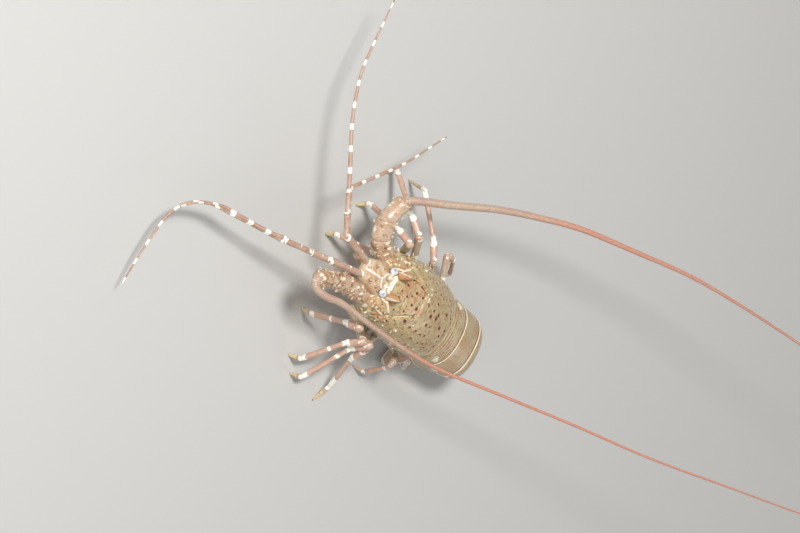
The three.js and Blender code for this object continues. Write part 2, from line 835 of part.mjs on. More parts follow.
// Assembly
const solids = new Map();
const add = (name, solid, color, roughness = 0.55) => {
  solids.set(name, { solid: whole(solid), color, roughness });
};
const SIDES = [["left", 1], ["right", -1]];

const shellRoom = carapaceBody(GAP);
const breastRoom = breastPlate(GAP);
const plateRoom = feelerPlate(GAP);
const eyeRooms = [eye(1, GAP), eye(-1, GAP)];

add("carapace", cut(join([carapaceBody(), ...carapaceThorns()]), ...eyeRooms), SHELL);
add("breast_plate", cut(breastPlate(), shellRoom), CREAM);
add("feeler_plate", cut(join([feelerPlate(), ...plateThorns()]), shellRoom, ...eyeRooms), PINK);

for (const [word, side] of SIDES) {
  const eyeRoom = eye(side, GAP);
  const stalkRoom = [shellRoom, plateRoom, eyeRoom, horn(side, GAP)];
  add(`horn_${word}`, cut(horn(side), shellRoom, eyeRoom), SHELL_FRONT);
  add(`eye_${word}`, eye(side), EYE_DARK, 0.15);
  add(`eyestalk_${word}`, cut(eyestalk(side), ...stalkRoom), CREAM);

  for (let i = 0; i < 3; i += 1) {
    const room = i === 0
      ? [shellRoom, plateRoom, eyeRoom]
      : [feelerBase(side, i - 1, GAP), ...feelerThorns(side, i - 1, GAP)];
    const piece = join([feelerBase(side, i), ...feelerThorns(side, i)]);
    add(`feeler_${word}_base_${i + 1}`, cut(piece, ...room), FEELER);
  }
  for (let i = 0; i < 3; i += 1) {
    const room = i === 0 ? [feelerBase(side, 2, GAP), ...feelerThorns(side, 2, GAP)] : [];
    add(`feeler_${word}_whip_${i + 1}`, cut(whip(side, i), ...room), WHIP);
  }

  const smallRoom = smallBase(side, GAP);
  add(`small_feeler_${word}_base`, cut(smallBase(side), plateRoom), LASH);
  add(`small_feeler_${word}_outer`, cut(lash(side, true), smallRoom), LASH);
  add(`small_feeler_${word}_inner`, cut(lash(side, false), smallRoom, lash(side, true, GAP)), LASH);
  const jawRoom = [shellRoom, breastRoom, feelerBase(side, 0, GAP), ...feelerThorns(side, 0, GAP)];
  add(`jaw_leg_${word}`, cut(jawLeg(side), ...jawRoom), SALMON);

  for (let pair = 0; pair < 5; pair += 1) {
    const upper = join([upperLeg(pair, side), kneeThorn(pair, side)]);
    const room = [upperLeg(pair, side, GAP), kneeThorn(pair, side, GAP), floorBlock];
    const bodyRoom = [shellRoom, breastRoom, feelerBase(side, 0, GAP)];
    // Where two hips crowd together, the rear one gives way
    const hipRoom = pair > 0 ? [upperLeg(pair - 1, side, GAP)] : [];
    add(`leg_${word}_${pair + 1}_upper`, cut(upper, ...bodyRoom, ...hipRoom), SALMON);
    add(`leg_${word}_${pair + 1}_lower`, cut(lowerLeg(pair, side), ...room), SALMON);
  }
}

// The first ring leaves room for the chest and the last hips
const tailRoom = [shellRoom, breastRoom, upperLeg(4, 1, GAP), upperLeg(4, -1, GAP)];
for (let i = 0; i < 6; i += 1) {
  add(`tail_${i + 1}`, i === 0 ? cut(tailSegment(i), ...tailRoom) : tailSegment(i), TAIL);
}
add("telson", telson(), PINK);
const fanRoom = [telson(GAP), tailSegment(5)];
for (const [word, side] of SIDES) {
  const outer = petal(side, OUTER_PETAL, 0, 0.4);
  const inner = petal(side, INNER_PETAL, TELSON_THICKNESS + GAP, 1.5);
  add(`fan_${word}_outer`, cut(outer, ...fanRoom), PINK);
  add(`fan_${word}_inner`, cut(inner, ...fanRoom), PINK);
}

// One mesh for each part, moved so that the footprint's centre is the origin.
const bounds = new THREE.Box3();
for (const { solid } of solids.values()) {
  const box = solid.boundingBox();
  bounds.expandByPoint(V(...box.min)).expandByPoint(V(...box.max));
}
const middle = bounds.getCenter(V(0, 0, 0));
const group = new THREE.Group();
group.name = "spiny_lobster";
for (const [name, { solid, color, roughness }] of solids) {
  const made = solid.getMesh();
  const geometry = new THREE.BufferGeometry();
  geometry.setAttribute("position", new THREE.BufferAttribute(made.vertProperties, 3));
  geometry.setIndex(new THREE.BufferAttribute(made.triVerts, 1));
  geometry.translate(-middle.x, -middle.y, -bounds.min.z);
  geometry.computeVertexNormals();
  const material = new THREE.MeshStandardMaterial({ color, roughness, metalness: 0 });
  const mesh = new THREE.Mesh(geometry, material);
  mesh.name = name;
  group.add(mesh);
}

export default group;
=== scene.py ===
# %% [markdown]
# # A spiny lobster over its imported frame
# The frame holds plain solids for the shell, the legs and the feelers. This lesson puts a finer
# skin over each of them: a surface is a function of two parameters, worked out as one numpy array.
# Lengths below are real sizes in millimetres, and turn into metres only when a mesh is made.

# %% Load the frame
import math

import bpy
import numpy as np
from mathutils import Matrix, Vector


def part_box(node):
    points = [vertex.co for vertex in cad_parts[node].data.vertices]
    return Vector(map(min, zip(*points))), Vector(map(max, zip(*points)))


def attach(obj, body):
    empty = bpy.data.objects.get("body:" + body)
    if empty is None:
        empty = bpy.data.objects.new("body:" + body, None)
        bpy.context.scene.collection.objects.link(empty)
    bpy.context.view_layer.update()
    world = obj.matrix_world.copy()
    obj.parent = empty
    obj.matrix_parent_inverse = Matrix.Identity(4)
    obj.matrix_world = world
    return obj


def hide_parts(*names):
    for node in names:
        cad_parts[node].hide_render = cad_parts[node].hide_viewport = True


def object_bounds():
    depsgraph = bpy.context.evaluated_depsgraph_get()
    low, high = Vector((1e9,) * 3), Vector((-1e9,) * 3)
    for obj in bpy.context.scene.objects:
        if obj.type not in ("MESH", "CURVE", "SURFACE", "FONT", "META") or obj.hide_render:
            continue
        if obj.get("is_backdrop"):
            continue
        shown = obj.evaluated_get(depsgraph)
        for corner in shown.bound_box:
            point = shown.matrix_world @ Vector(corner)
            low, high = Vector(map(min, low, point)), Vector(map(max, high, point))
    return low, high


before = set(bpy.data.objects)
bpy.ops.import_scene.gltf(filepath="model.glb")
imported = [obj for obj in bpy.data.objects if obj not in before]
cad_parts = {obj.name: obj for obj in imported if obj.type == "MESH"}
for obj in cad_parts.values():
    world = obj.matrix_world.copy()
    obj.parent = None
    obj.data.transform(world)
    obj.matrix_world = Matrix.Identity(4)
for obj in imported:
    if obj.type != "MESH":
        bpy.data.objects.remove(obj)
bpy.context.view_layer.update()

# %% [markdown]
# ## Where the animal stands
# The shell is measured in its own body frame: x forward from the rear edge of the carapace, y to
# the animal's left, z up from the breast. It is then tipped head-up and lifted over the floor.
# The shell of head and chest is turned a little to the left on top of the legs. The telson's box
# tells how far the floor frame is moved, so nothing has to be fitted by eye.

# %% From the body to the floor, and to metres
MM = 0.001
PITCH = math.radians(12)
YAW = math.radians(0.8)
BREAST_HEIGHT = 20
TELSON_START = -47.496

telson_low, telson_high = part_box("telson")
SHIFT = np.array([telson_low.x / MM - TELSON_START, (telson_low.y + telson_high.y) / 2 / MM, 0])
TIP = np.array([
    [math.cos(PITCH), 0, -math.sin(PITCH)],
    [0, 1, 0],
    [math.sin(PITCH), 0, math.cos(PITCH)],
])
TURN = np.array([
    [math.cos(YAW), -math.sin(YAW), 0],
    [math.sin(YAW), math.cos(YAW), 0],
    [0, 0, 1],
])
UP = np.array([0, 0, 1.0])


def on_floor(points):
    """Body frame to floor frame: turned head-up by the pitch, then lifted."""
    return np.asarray(points, float) @ TIP.T + BREAST_HEIGHT * UP


def shell_on_floor(points):
    """The same for head and chest, which are turned a little to the left first."""
    return on_floor(np.asarray(points, float) @ TURN.T)


def unit(vectors):
    """Vectors divided by their lengths."""
    return vectors / np.maximum(np.linalg.norm(vectors, axis=-1, keepdims=True), 1e-9)


def arch(wave, power):
    """A sine or cosine raised to a power with its sign kept: below 1 it squares an oval off."""
    return np.sign(wave) * np.abs(wave) ** power


print("floor frame moved by", SHIFT.round(2), "mm")

# %% [markdown]
# ## The camera
# The photograph looks down on the animal from ahead and above. A camera is placed by three
# unit vectors: to the right of the picture, up the picture, and back toward the camera. Setting
# them as the columns of its matrix gives the roll as well, which a look-at constraint wouldn't.

# %% Place the camera
VIEW_ELEVATION = math.radians(43.2)
VIEW_COMPASS = math.radians(12.9)
VIEW_ROLL = math.radians(250.9)
VIEW_DISTANCE = 2200
PIXELS_PER_MM = 1.319
PICTURE_WIDTH = 800
PICTURE_MIDDLE = (400, 266.5)
# A point in the middle of the carapace, in the body frame, and where it lies in the picture
BODY_POINT = [50, 0, 30]
BODY_PIXEL = (408.34, 301.96)
SENSOR = 36

up_cos, up_sin = math.cos(VIEW_ELEVATION), math.sin(VIEW_ELEVATION)
way_cos, way_sin = math.cos(VIEW_COMPASS), math.sin(VIEW_COMPASS)
level = np.array([
    [-way_sin, way_cos, 0],
    [-up_sin * way_cos, -up_sin * way_sin, up_cos],
    [up_cos * way_cos, up_cos * way_sin, up_sin],
])
roll_cos, roll_sin = math.cos(VIEW_ROLL), math.sin(VIEW_ROLL)
view_axes = np.array([[roll_cos, -roll_sin, 0], [roll_sin, roll_cos, 0], [0, 0, 1]]) @ level
aside = (BODY_PIXEL[0] - PICTURE_MIDDLE[0]) / PIXELS_PER_MM
above = (PICTURE_MIDDLE[1] - BODY_PIXEL[1]) / PIXELS_PER_MM
stand = on_floor(BODY_POINT) + np.array([-aside, -above, VIEW_DISTANCE]) @ view_axes + SHIFT

camera_data = bpy.data.cameras.new("camera")
camera_data.sensor_width = SENSOR
camera_data.lens = PIXELS_PER_MM * VIEW_DISTANCE / PICTURE_WIDTH * SENSOR
camera_data.clip_start, camera_data.clip_end = 0.05, 30
camera = bpy.data.objects.new("camera", camera_data)
bpy.context.scene.collection.objects.link(camera)
placed = Matrix(view_axes.T.tolist()).to_4x4()
placed.translation = (stand * MM).tolist()
camera.matrix_world = placed
bpy.context.scene.camera = camera
print("camera at", (stand * MM).round(3), "lens", round(camera_data.lens, 1))

# %% [markdown]
# ## From arrays to meshes
# Every skin is a grid of rings. A part is its points, its four-sided and three-sided faces and
# its painted values; a piece is one or more parts in one mesh. Paint is kept as plain numbers on
# the points (spot, cream, warm, dark), and the material turns them into colours.

# %% Parts and pieces
PAINTS = ("spot", "cream", "warm", "dark")
made = {}


def volume(points, quads, tris):
    """Six times the volume inside: the sum of corner triple products over all triangles."""
    triangles = np.vstack([quads[:, [0, 1, 2]], quads[:, [0, 2, 3]], tris])
    a, b, c = (points[triangles[:, k]] for k in range(3))
    return np.einsum("ij,ij->", a, np.cross(b, c))


def outward(points, quads, tris, paint):
    """A part whose faces look out: both face lists are reversed if the volume is negative."""
    if volume(points - points.mean(0), quads, tris) < 0:
        quads, tris = quads[:, ::-1], tris[:, ::-1]
    full = {name: np.zeros(len(points)) for name in PAINTS}
    full.update(paint)
    return points, quads, tris, full


def ring_faces(rings, count):
    """The four-sided faces between neighbouring rings, and each place on a ring with the next."""
    i, j = np.meshgrid(np.arange(rings - 1), np.arange(count), indexing="ij")
    k = (j + 1) % count
    quads = np.stack([i * count + j, i * count + k, (i + 1) * count + k, (i + 1) * count + j], -1)
    here = np.arange(count)
    return quads.reshape(-1, 4), here, (here + 1) % count


def skin(grid, **paint):
    """A closed skin over rings [ring, place on the ring]: a four-sided face for each cell, and
    a fan from each end ring to the middle of that ring."""
    rings, count = grid.shape[:2]
    quads, here, there = ring_faces(rings, count)
    first, last, start = rings * count, rings * count + 1, (rings - 1) * count
    tris = np.vstack([
        np.stack([np.full(count, first), there, here], -1),
        np.stack([np.full(count, last), start + here, start + there], -1),
    ])
    points = np.vstack([grid.reshape(-1, 3), grid[0].mean(0), grid[-1].mean(0)])
    full = {}
    # A mask may be one value for each ring, or for each place on the ring
    for name, value in paint.items():
        value = np.broadcast_to(value, (rings, count))
        full[name] = np.concatenate([value.ravel(), [value[0].mean(), value[-1].mean()]])
    return outward(points, quads, tris, full)


def piece(name, parts, slot, material, *nodes):
    """One mesh object from parts, in metres on the frame's floor, riding on the still body."""
    sizes = np.cumsum([0] + [len(part[0]) for part in parts])
    points = (np.vstack([part[0] for part in parts]) + SHIFT) * MM
    points[:, 2] = np.maximum(points[:, 2], 0)
    quads = np.vstack([part[1] + size for part, size in zip(parts, sizes)])
    tris = np.vstack([part[2] + size for part, size in zip(parts, sizes)])
    mesh = bpy.data.meshes.new(name)
    mesh.vertices.add(len(points))
    mesh.vertices.foreach_set("co", points.astype(np.float32).ravel())
    corners = np.concatenate([quads.ravel(), tris.ravel()]).astype(np.int32)
    mesh.loops.add(len(corners))
    mesh.loops.foreach_set("vertex_index", corners)
    starts = np.concatenate([4 * np.arange(len(quads)), 4 * len(quads) + 3 * np.arange(len(tris))])
    mesh.polygons.add(len(starts))
    mesh.polygons.foreach_set("loop_start", starts.astype(np.int32))
    mesh.polygons.foreach_set("use_smooth", np.ones(len(starts), bool))
    for paint in PAINTS:
        values = np.concatenate([part[3][paint] for part in parts])
        layer = mesh.attributes.new(paint, "FLOAT", "POINT")
        layer.data.foreach_set("value", values.astype(np.float32))
    mesh.update(calc_edges=True)
    mesh.validate()
    mesh.materials.append(material)
    thing = bpy.data.objects.new(name, mesh)
    bpy.context.scene.collection.objects.link(thing)
    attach(thing, "root")
    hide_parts(*nodes)
    made[name] = 2 * len(quads) + len(tris)


print("paint layers:", ", ".join(PAINTS))

# %% [markdown]
# ## Curves
# The solids' sizes are short tables read on a smooth curve, and their long thin parts follow
# walks of steps. The same two ideas are used here, so that the skins lie where the solids are.

# %% Tables, walks and smooth lines
def along(table, place):
    """Columns of a table at places along its first column, on a cubic curve through its rows
    whose slope at a row is that of the line between the rows beside it."""
    table = np.asarray(table, float)
    last = len(table) - 1
    at = np.clip(np.asarray(place, float), table[0, 0], table[-1, 0])
    i = np.clip(np.searchsorted(table[:, 0], at, "left") - 1, 0, last - 1)
    low = np.maximum(np.arange(last + 1) - 1, 0)
    high = np.minimum(np.arange(last + 1) + 1, last)
    slopes = (table[high, 1:] - table[low, 1:]) / (table[high, :1] - table[low, :1])
    span = (table[i + 1, 0] - table[i, 0])[..., None]
    t = (at - table[i, 0])[..., None] / span
    return (
        (2 * t**3 - 3 * t**2 + 1) * table[i, 1:]
        + (t**3 - 2 * t**2 + t) * span * slopes[i]
        + (3 * t**2 - 2 * t**3) * table[i + 1, 1:]
        + (t**3 - t**2) * span * slopes[i + 1]
    )


def walk(start, steps):
    """Points of a walk of [length, compass angle, slope] steps."""
    length, compass, slope = np.asarray(steps, float).T
    compass, slope = np.radians(compass), np.radians(slope)
    flat = length * np.cos(slope)
    moves = np.stack([flat * np.cos(compass), flat * np.sin(compass), length * np.sin(slope)], -1)
    return np.vstack([start, start + np.cumsum(moves, 0)])


def smooth_line(points, count, first=0, last=1):
    """Evenly spaced points between two shares of a centripetal Catmull-Rom curve's length. Each
    span is a cubic whose end slopes weigh the spans beside it by the root of their length."""
    points = np.asarray(points, float)
    ends = [2 * points[0] - points[1], 2 * points[-1] - points[-2]]
    knots = np.vstack([ends[0], points, ends[1]])
    gaps = np.sqrt(np.linalg.norm(np.diff(knots, axis=0), axis=1))[:, None]
    p0, p1, p2, p3 = knots[:-3], knots[1:-2], knots[2:-1], knots[3:]
    g0, g1, g2 = gaps[:-2], gaps[1:-1], gaps[2:]
    m1 = g1 * ((p1 - p0) / g0 - (p2 - p0) / (g0 + g1) + (p2 - p1) / g1)
    m2 = g1 * ((p2 - p1) / g1 - (p3 - p1) / (g1 + g2) + (p3 - p2) / g2)
    t = np.linspace(0, 1, 201)[None, :, None]
    spans = (
        p1[:, None] + m1[:, None] * t
        + (3 * (p2 - p1) - 2 * m1 - m2)[:, None] * t**2
        + (2 * (p1 - p2) + m1 + m2)[:, None] * t**3
    )
    dense = spans.reshape(-1, 3)
    run = np.concatenate([[0], np.cumsum(np.linalg.norm(np.diff(dense, axis=0), axis=1))])
    at = np.linspace(first, last, count) * run[-1]
    return np.stack([np.interp(at, run, dense[:, k]) for k in range(3)], -1), run[-1]


def bar_axes(line):
    """Tangent, sideways and upward unit vectors along a line. Sideways starts level and is
    carried from point to point with its part along the tangent taken out."""
    tangent = unit(np.gradient(line, axis=0))
    across = np.cross(UP, tangent[0])
    across = np.array([0, 1.0, 0]) if np.linalg.norm(across) < 0.5 else unit(across)
    sideways = np.empty_like(line)
    for i, ahead in enumerate(tangent):
        across = unit(across - ahead * (across @ ahead))
        sideways[i] = across
    return tangent, sideways, np.cross(tangent, sideways)


def bar(line, wide, tall, count):
    """Rings of an oval bar: middle + sideways * wide * cos + upward * tall * sin of the turn.
    The radii are given for each ring, or for each ring and turn. Also gives the turns."""
    _, sideways, upward = bar_axes(line)
    turn = 2 * np.pi * np.arange(count) / count
    rings = len(line)
    wide, tall = (
        np.broadcast_to(np.reshape(radius, (rings, -1)), (rings, count)) for radius in (wide, tall))
    grid = (
        line[:, None]
        + sideways[:, None] * (wide * np.cos(turn))[..., None]
        + upward[:, None] * (tall * np.sin(turn))[..., None]
    )
    return grid, turn


def radii_at(knots, radii, shares):
    """Radii given at the points of a walk, read at shares of its length on a smooth curve."""
    run = np.append(0, np.linalg.norm(np.diff(knots, axis=0), axis=1).cumsum())
    return along(np.c_[run / run[-1], radii], shares)[:, 0]


def bump(value, middle, width):
    """A bell: 1 at the middle, and 1/e one width away."""
    return np.exp(-(((value - middle) / width) ** 2))


def ramp(value, low, high):
    """0 below low, 1 above high, and a smooth step between them."""
    t = np.clip((value - low) / (high - low), 0, 1)
    return t * t * (3 - 2 * t)


def most(*shares):
    """The largest of several shares of paint, cut off at 0 and 1."""
    return np.clip(np.max(np.broadcast_arrays(*shares), 0), 0, 1)


def near_line(x, y, line, width):
    """1 on a broken line of (x, y) points, falling off as a bell over the width."""
    nearest = np.full(np.broadcast(x, y).shape, np.inf)
    line = np.asarray(line, float)
    for (ax, ay), (bx, by) in zip(line[:-1], line[1:]):
        dx, dy = bx - ax, by - ay
        t = np.clip(((x - ax) * dx + (y - ay) * dy) / (dx * dx + dy * dy), 0, 1)
        nearest = np.minimum(nearest, (x - ax - t * dx) ** 2 + (y - ay - t * dy) ** 2)
    return np.exp(-nearest / width**2)


RIPPLE_WAVES = 8


def ripple(points, size, seed):
    """Soft unevenness between about -1 and 1: eight waves of random direction and phase."""
    rng = np.random.default_rng(seed)
    total = np.zeros(points.shape[:-1])
    for _ in range(RIPPLE_WAVES):
        direction = unit(rng.normal(size=3)) * rng.uniform(0.6, 1.6) * 2 * np.pi / size
        total += np.sin(points @ direction + rng.uniform(0, 2 * np.pi))
    return total / (0.4 * RIPPLE_WAVES)


# %% [markdown]
# ## Spines
# Spines are the mark of this animal, and they stand nearly everywhere in front. Each is a cone
# that flares at its foot and bends forward, tan with a darker foot, a warm ring above it and a
# cream tip. The dark at the foot is partly the spine's own brown and partly painted shade where
# it meets the shell. All the spines of a piece are one array, so a hundred cost no more code than one.

# %% Spines in one array
SPINE_HEIGHTS = np.array([-0.45, -0.1, 0.06, 0.25, 0.5, 0.75, 0.92])


def spikes(feet, axes, lengths, radii, toward=None, lean=0.16, sides=8, heights=SPINE_HEIGHTS,
           foot_warm=0.75, foot_dark_and_shade=0.7):
    """Curved cones. At height h the middle is foot + axis * h * length, moved toward a direction
    by lean * h^2 * length, and the radius is r * (1 - h)^0.8 plus a flare that dies off above
    the foot. The tip is one point and the foot is closed inside the shell."""
    feet = np.atleast_2d(np.asarray(feet, float))
    count = len(feet)
    axes = unit(np.broadcast_to(np.asarray(axes, float), feet.shape))
    lengths = np.broadcast_to(np.asarray(lengths, float), count)[:, None, None]
    radii = np.broadcast_to(np.asarray(radii, float), count)[:, None, None]
    toward = np.zeros(3) if toward is None else np.asarray(toward, float)
    bend = np.broadcast_to(toward, feet.shape)
    bend = bend - axes * np.sum(bend * axes, -1, keepdims=True)
    side = unit(np.cross(axes, np.array([0.31, 0.9, 0.21])))
    other = np.cross(axes, side)
    h = np.append(heights, 1.0)[None, :, None]
    middle = feet[:, None] + axes[:, None] * h * lengths
    middle = middle + bend[:, None] * (lean * np.maximum(h, 0) ** 2 * lengths)
    h = heights[None, :, None]
    size = radii * ((1 - np.maximum(h, 0)) ** 0.8 + 0.35 * np.exp(-9 * np.maximum(h, 0)))
    turn = (2 * np.pi * np.arange(sides) / sides)[None, None, :]
    ring = (
        middle[:, :-1, None]
        + side[:, None, None] * (size * np.cos(turn))[..., None]
        + other[:, None, None] * (size * np.sin(turn))[..., None]
    )
    levels = len(heights)
    # Each spine has its rings, then the tip and the middle of its foot
    per = levels * sides + 2
    body = ring.reshape(count, levels * sides, 3)
    points = np.concatenate([body, middle[:, -1:], middle[:, :1]], 1).reshape(-1, 3)
    quads, here, there = ring_faces(levels, sides)
    top = (levels - 1) * sides
    tris = np.vstack([
        np.stack([top + here, top + there, np.full(sides, per - 2)], -1),
        np.stack([there, here, np.full(sides, per - 1)], -1),
    ])
    base = (per * np.arange(count))[:, None, None]
    quads = (quads[None] + base).reshape(-1, 4)
    tris = (tris[None] + base).reshape(-1, 3)
    level = np.concatenate([np.repeat(heights, sides), [1, heights[0]]])
    level = np.tile(level, count)
    paint = {
        "cream": ramp(level, 0.4, 0.8),
        "warm": foot_warm * bump(level, 0.22, 0.16),
        # Dark at the foot: partly the spine's brown base, partly painted shade where it meets the shell
        "dark": foot_dark_and_shade * bump(level, 0, 0.09),
    }
    return outward(points, quads, tris, paint)


print("rings on a spine:", len(SPINE_HEIGHTS))

# %% [markdown]
# ## Paint
# A crustacean's shell carries its colour in layers: a clouded ground, fine dark specks, and
# spots, bands and pale edges on top. One node group mixes all of these, so every material below
# is the same group with its own colours. The group reads Object coordinates for what has no
# pattern of its own, and takes the painted masks as inputs.

# %% Node helpers and the shell group
def colour(red, green, blue):
    """A screen colour of 0 to 255 as linear light, with full alpha."""
    share = np.array([red, green, blue]) / 255
    linear = np.where(share <= 0.04045, share / 12.92, ((share + 0.055) / 1.055) ** 2.4)
    return (*linear.tolist(), 1)


def put(tree, kind, inputs=None, **settings):
    """A node with its settings, and its inputs set to values or wired to sockets."""
    node = tree.nodes.new("ShaderNode" + kind)
    for key, value in settings.items():
        setattr(node, key, value)
    for key, value in (inputs or {}).items():
        if isinstance(value, bpy.types.NodeSocket):
            tree.links.new(value, node.inputs[key])
        else:
            node.inputs[key].default_value = value
    return node


def mixed(tree, factor, first, second):
    """The colour between two colours."""
    return put(tree, "Mix", {0: factor, 6: first, 7: second}, data_type="RGBA").outputs[2]


def sums(tree, operation, *values):
    """One arithmetic step on values."""
    return put(tree, "Math", dict(enumerate(values)), operation=operation).outputs[0]


def stepped(tree, value, low, high):
    """A smooth step of a value between two levels."""
    node = put(tree, "MapRange", {"Value": value, "From Min": low, "From Max": high})
    node.interpolation_type = "SMOOTHSTEP"
    return node.outputs[0]


def make_group(name, inputs, outputs):
    """An empty node group with named colour and value sockets."""
    group = bpy.data.node_groups.new(name, "ShaderNodeTree")
    for label, value in inputs.items():
        kind = "NodeSocketColor" if isinstance(value, tuple) else "NodeSocketFloat"
        socket = group.interface.new_socket(label, in_out="INPUT", socket_type=kind)
        socket.default_value = value
    for label, kind in outputs.items():
        group.interface.new_socket(label, in_out="OUTPUT", socket_type=kind)
    return group, group.nodes.new("NodeGroupInput"), group.nodes.new("NodeGroupOutput")


GREY = (0.5, 0.5, 0.5, 1)
SHELL_INPUTS = {
    "Ground": GREY, "Cloud": GREY, "Speck": GREY, "Spot": GREY, "Cream": GREY, "Warm": GREY,
    "Cloud Size": 9.0, "Speck Share": 0.3, "Pits": 0.5,
    "Spot Mask": 0.0, "Cream Mask": 0.0, "Warm Mask": 0.0, "Dark Mask": 0.0,
}
shell_group, given, wanted = make_group(
    "Painted shell", SHELL_INPUTS,
    {"Colour": "NodeSocketColor", "Roughness": "NodeSocketFloat", "Height": "NodeSocketFloat"},
)
place = put(shell_group, "TexCoord").outputs["Object"]
told = given.outputs


def step_of(operation, *values):
    """One arithmetic step inside the shell group."""
    return sums(shell_group, operation, *values)


def noise(scale, detail, roughness=0.5):
    """The value of a noise pattern inside the shell group, its scale in repeats a metre."""
    inputs = {"Vector": place, "Scale": scale, "Detail": detail, "Roughness": roughness}
    return put(shell_group, "TexNoise", inputs).outputs[0]


print("shell group takes:", ", ".join(SHELL_INPUTS))

# %% The ground: clouds and specks
clouds = noise(step_of("DIVIDE", 1000, told["Cloud Size"]), 4.0)
fine = noise(900.0, 4.0, 0.6)
middling = noise(380.0, 3.0)
cells = put(shell_group, "TexVoronoi", {"Vector": place, "Scale": 620.0}, feature="F1")
cloudy = stepped(shell_group, clouds, 0.36, 0.66)
paint_now = mixed(shell_group, cloudy, told["Ground"], told["Cloud"])
speck_edge = step_of("SUBTRACT", 0.72, step_of("MULTIPLY", told["Speck Share"], 0.35))
specks = stepped(shell_group, middling, speck_edge, step_of("ADD", speck_edge, 0.09))
specks = step_of("MULTIPLY", specks, 0.7)
paint_now = mixed(shell_group, specks, paint_now, told["Speck"])
wander = step_of("SUBTRACT", middling, 0.5)
print("ground nodes:", len(shell_group.nodes))

# %% The painted layers, and the relief
# Mask, colour, how far the noise moves the edge, and the levels between which the paint comes in
LAYERS = (
    ("Warm", "Warm", 1.0, 0.28, 0.75),
    ("Cream", "Cream", 0.7, 0.36, 0.64),
    ("Spot", "Spot", 0.3, 0.4, 0.62),
    ("Dark", "Spot", 0.9, 0.3, 0.8),
)
for mask, target, waver, low, high in LAYERS:
    amount = told[mask + " Mask"]
    moved = step_of("MULTIPLY_ADD", wander, waver, amount)
    share = step_of(
        "MULTIPLY", stepped(shell_group, moved, low, high), stepped(shell_group, amount, 0.02, 0.25))
    paint_now = mixed(shell_group, share, paint_now, told[target])
shade = step_of("MULTIPLY_ADD", fine, 0.7, 0.65)
shaded = put(shell_group, "Mix", {0: 1.0, 6: paint_now}, data_type="RGBA", blend_type="MULTIPLY")
grey = put(shell_group, "CombineColor", {0: shade, 1: shade, 2: shade})
shell_group.links.new(grey.outputs[0], shaded.inputs[7])
pits = step_of("MULTIPLY", cells.outputs[0], told["Pits"])
height = step_of("MULTIPLY_ADD", fine, 0.45, pits)
rough = step_of("MULTIPLY_ADD", middling, 0.34, 0.16)
shell_group.links.new(shaded.outputs[2], wanted.inputs["Colour"])
shell_group.links.new(rough, wanted.inputs["Roughness"])
shell_group.links.new(height, wanted.inputs["Height"])
print("group:", shell_group.name, "with", len(shell_group.nodes), "nodes")


# %% Materials of the shell
def shell_material(name, ground, cloud, speck, spot, cream, warm, coat=0.4, relief=0.55, **values):
    """The painted shell in one set of colours: ground, cloud, speck, spot, cream and warm. The
    values set the size of the clouds in millimetres, the share of specks and the depth of pits."""
    material = bpy.data.materials.new(name)
    material.use_nodes = True
    tree = material.node_tree
    shader = tree.nodes["Principled BSDF"]
    group = tree.nodes.new("ShaderNodeGroup")
    group.node_tree = shell_group
    tones = {
        "Ground": ground, "Cloud": cloud, "Speck": speck, "Spot": spot, "Cream": cream, "Warm": warm,
    }
    for label, value in tones.items():
        group.inputs[label].default_value = colour(*value)
    for label, value in values.items():
        group.inputs[label.replace("_", " ").title()].default_value = value
    for mask in PAINTS:
        layer = put(tree, "Attribute", attribute_name=mask)
        tree.links.new(layer.outputs["Fac"], group.inputs[mask.title() + " Mask"])
    raised = put(
        tree, "Bump", {"Height": group.outputs["Height"], "Strength": relief, "Distance": 0.5 * MM})
    tree.links.new(group.outputs["Colour"], shader.inputs["Base Color"])
    tree.links.new(group.outputs["Roughness"], shader.inputs["Roughness"])
    tree.links.new(raised.outputs[0], shader.inputs["Normal"])
    shader.inputs["Coat Weight"].default_value = coat
    shader.inputs["Coat Roughness"].default_value = 0.25
    return material


BROWN = (84, 40, 24)
CREAM = (238, 228, 200)
WHITE = (246, 242, 230)
SHELL = shell_material(
    "carapace shell", (192, 174, 130), (184, 156, 114), (152, 118, 82), BROWN, CREAM,
    (192, 128, 86), cloud_size=11.0, speck_share=0.6, pits=0.6)
TAIL = shell_material(
    "tail shell", (182, 164, 130), (174, 146, 110), (148, 114, 82), (96, 54, 34), CREAM,
    (202, 142, 110), cloud_size=14.0, speck_share=0.4, pits=0.35)
PLATE = shell_material(
    "plate shell", (208, 190, 160), (202, 172, 140), (156, 112, 80), (112, 64, 40), WHITE,
    (190, 146, 108), cloud_size=7.0, speck_share=0.3, pits=0.5)
HORN = shell_material(
    "horn shell", (208, 160, 116), (190, 132, 88), (144, 90, 56), (104, 58, 34), CREAM,
    (196, 142, 96), cloud_size=6.0, speck_share=0.35, pits=0.4)
SPINE = shell_material(
    "spine shell", (194, 170, 130), (184, 152, 112), (150, 108, 74), (116, 70, 46),
    (242, 230, 200), (192, 148, 102), cloud_size=5.0, speck_share=0.25, pits=0.3)
FEELER = shell_material(
    "feeler base shell", (196, 170, 146), (186, 154, 128), (150, 110, 84), (104, 60, 40), CREAM,
    (166, 130, 100), cloud_size=9.0, speck_share=0.35, pits=0.5)
WHIP = shell_material(
    "whip shell", (188, 162, 140), (182, 150, 132), (148, 108, 88), (118, 78, 62), CREAM,
    (200, 138, 114), cloud_size=14.0, speck_share=0.3, pits=0.3)
SMALL = shell_material(
    "small feeler shell", (184, 156, 136), (174, 136, 114), (138, 94, 74), (110, 64, 48), WHITE,
    (182, 126, 100), cloud_size=6.0, speck_share=0.3, pits=0.3)
THIGH_SHELL = shell_material(
    "thigh shell", (190, 172, 148), (182, 156, 132), (146, 116, 92), (120, 80, 58), WHITE,
    (206, 146, 118), cloud_size=8.0, speck_share=0.3, pits=0.4)
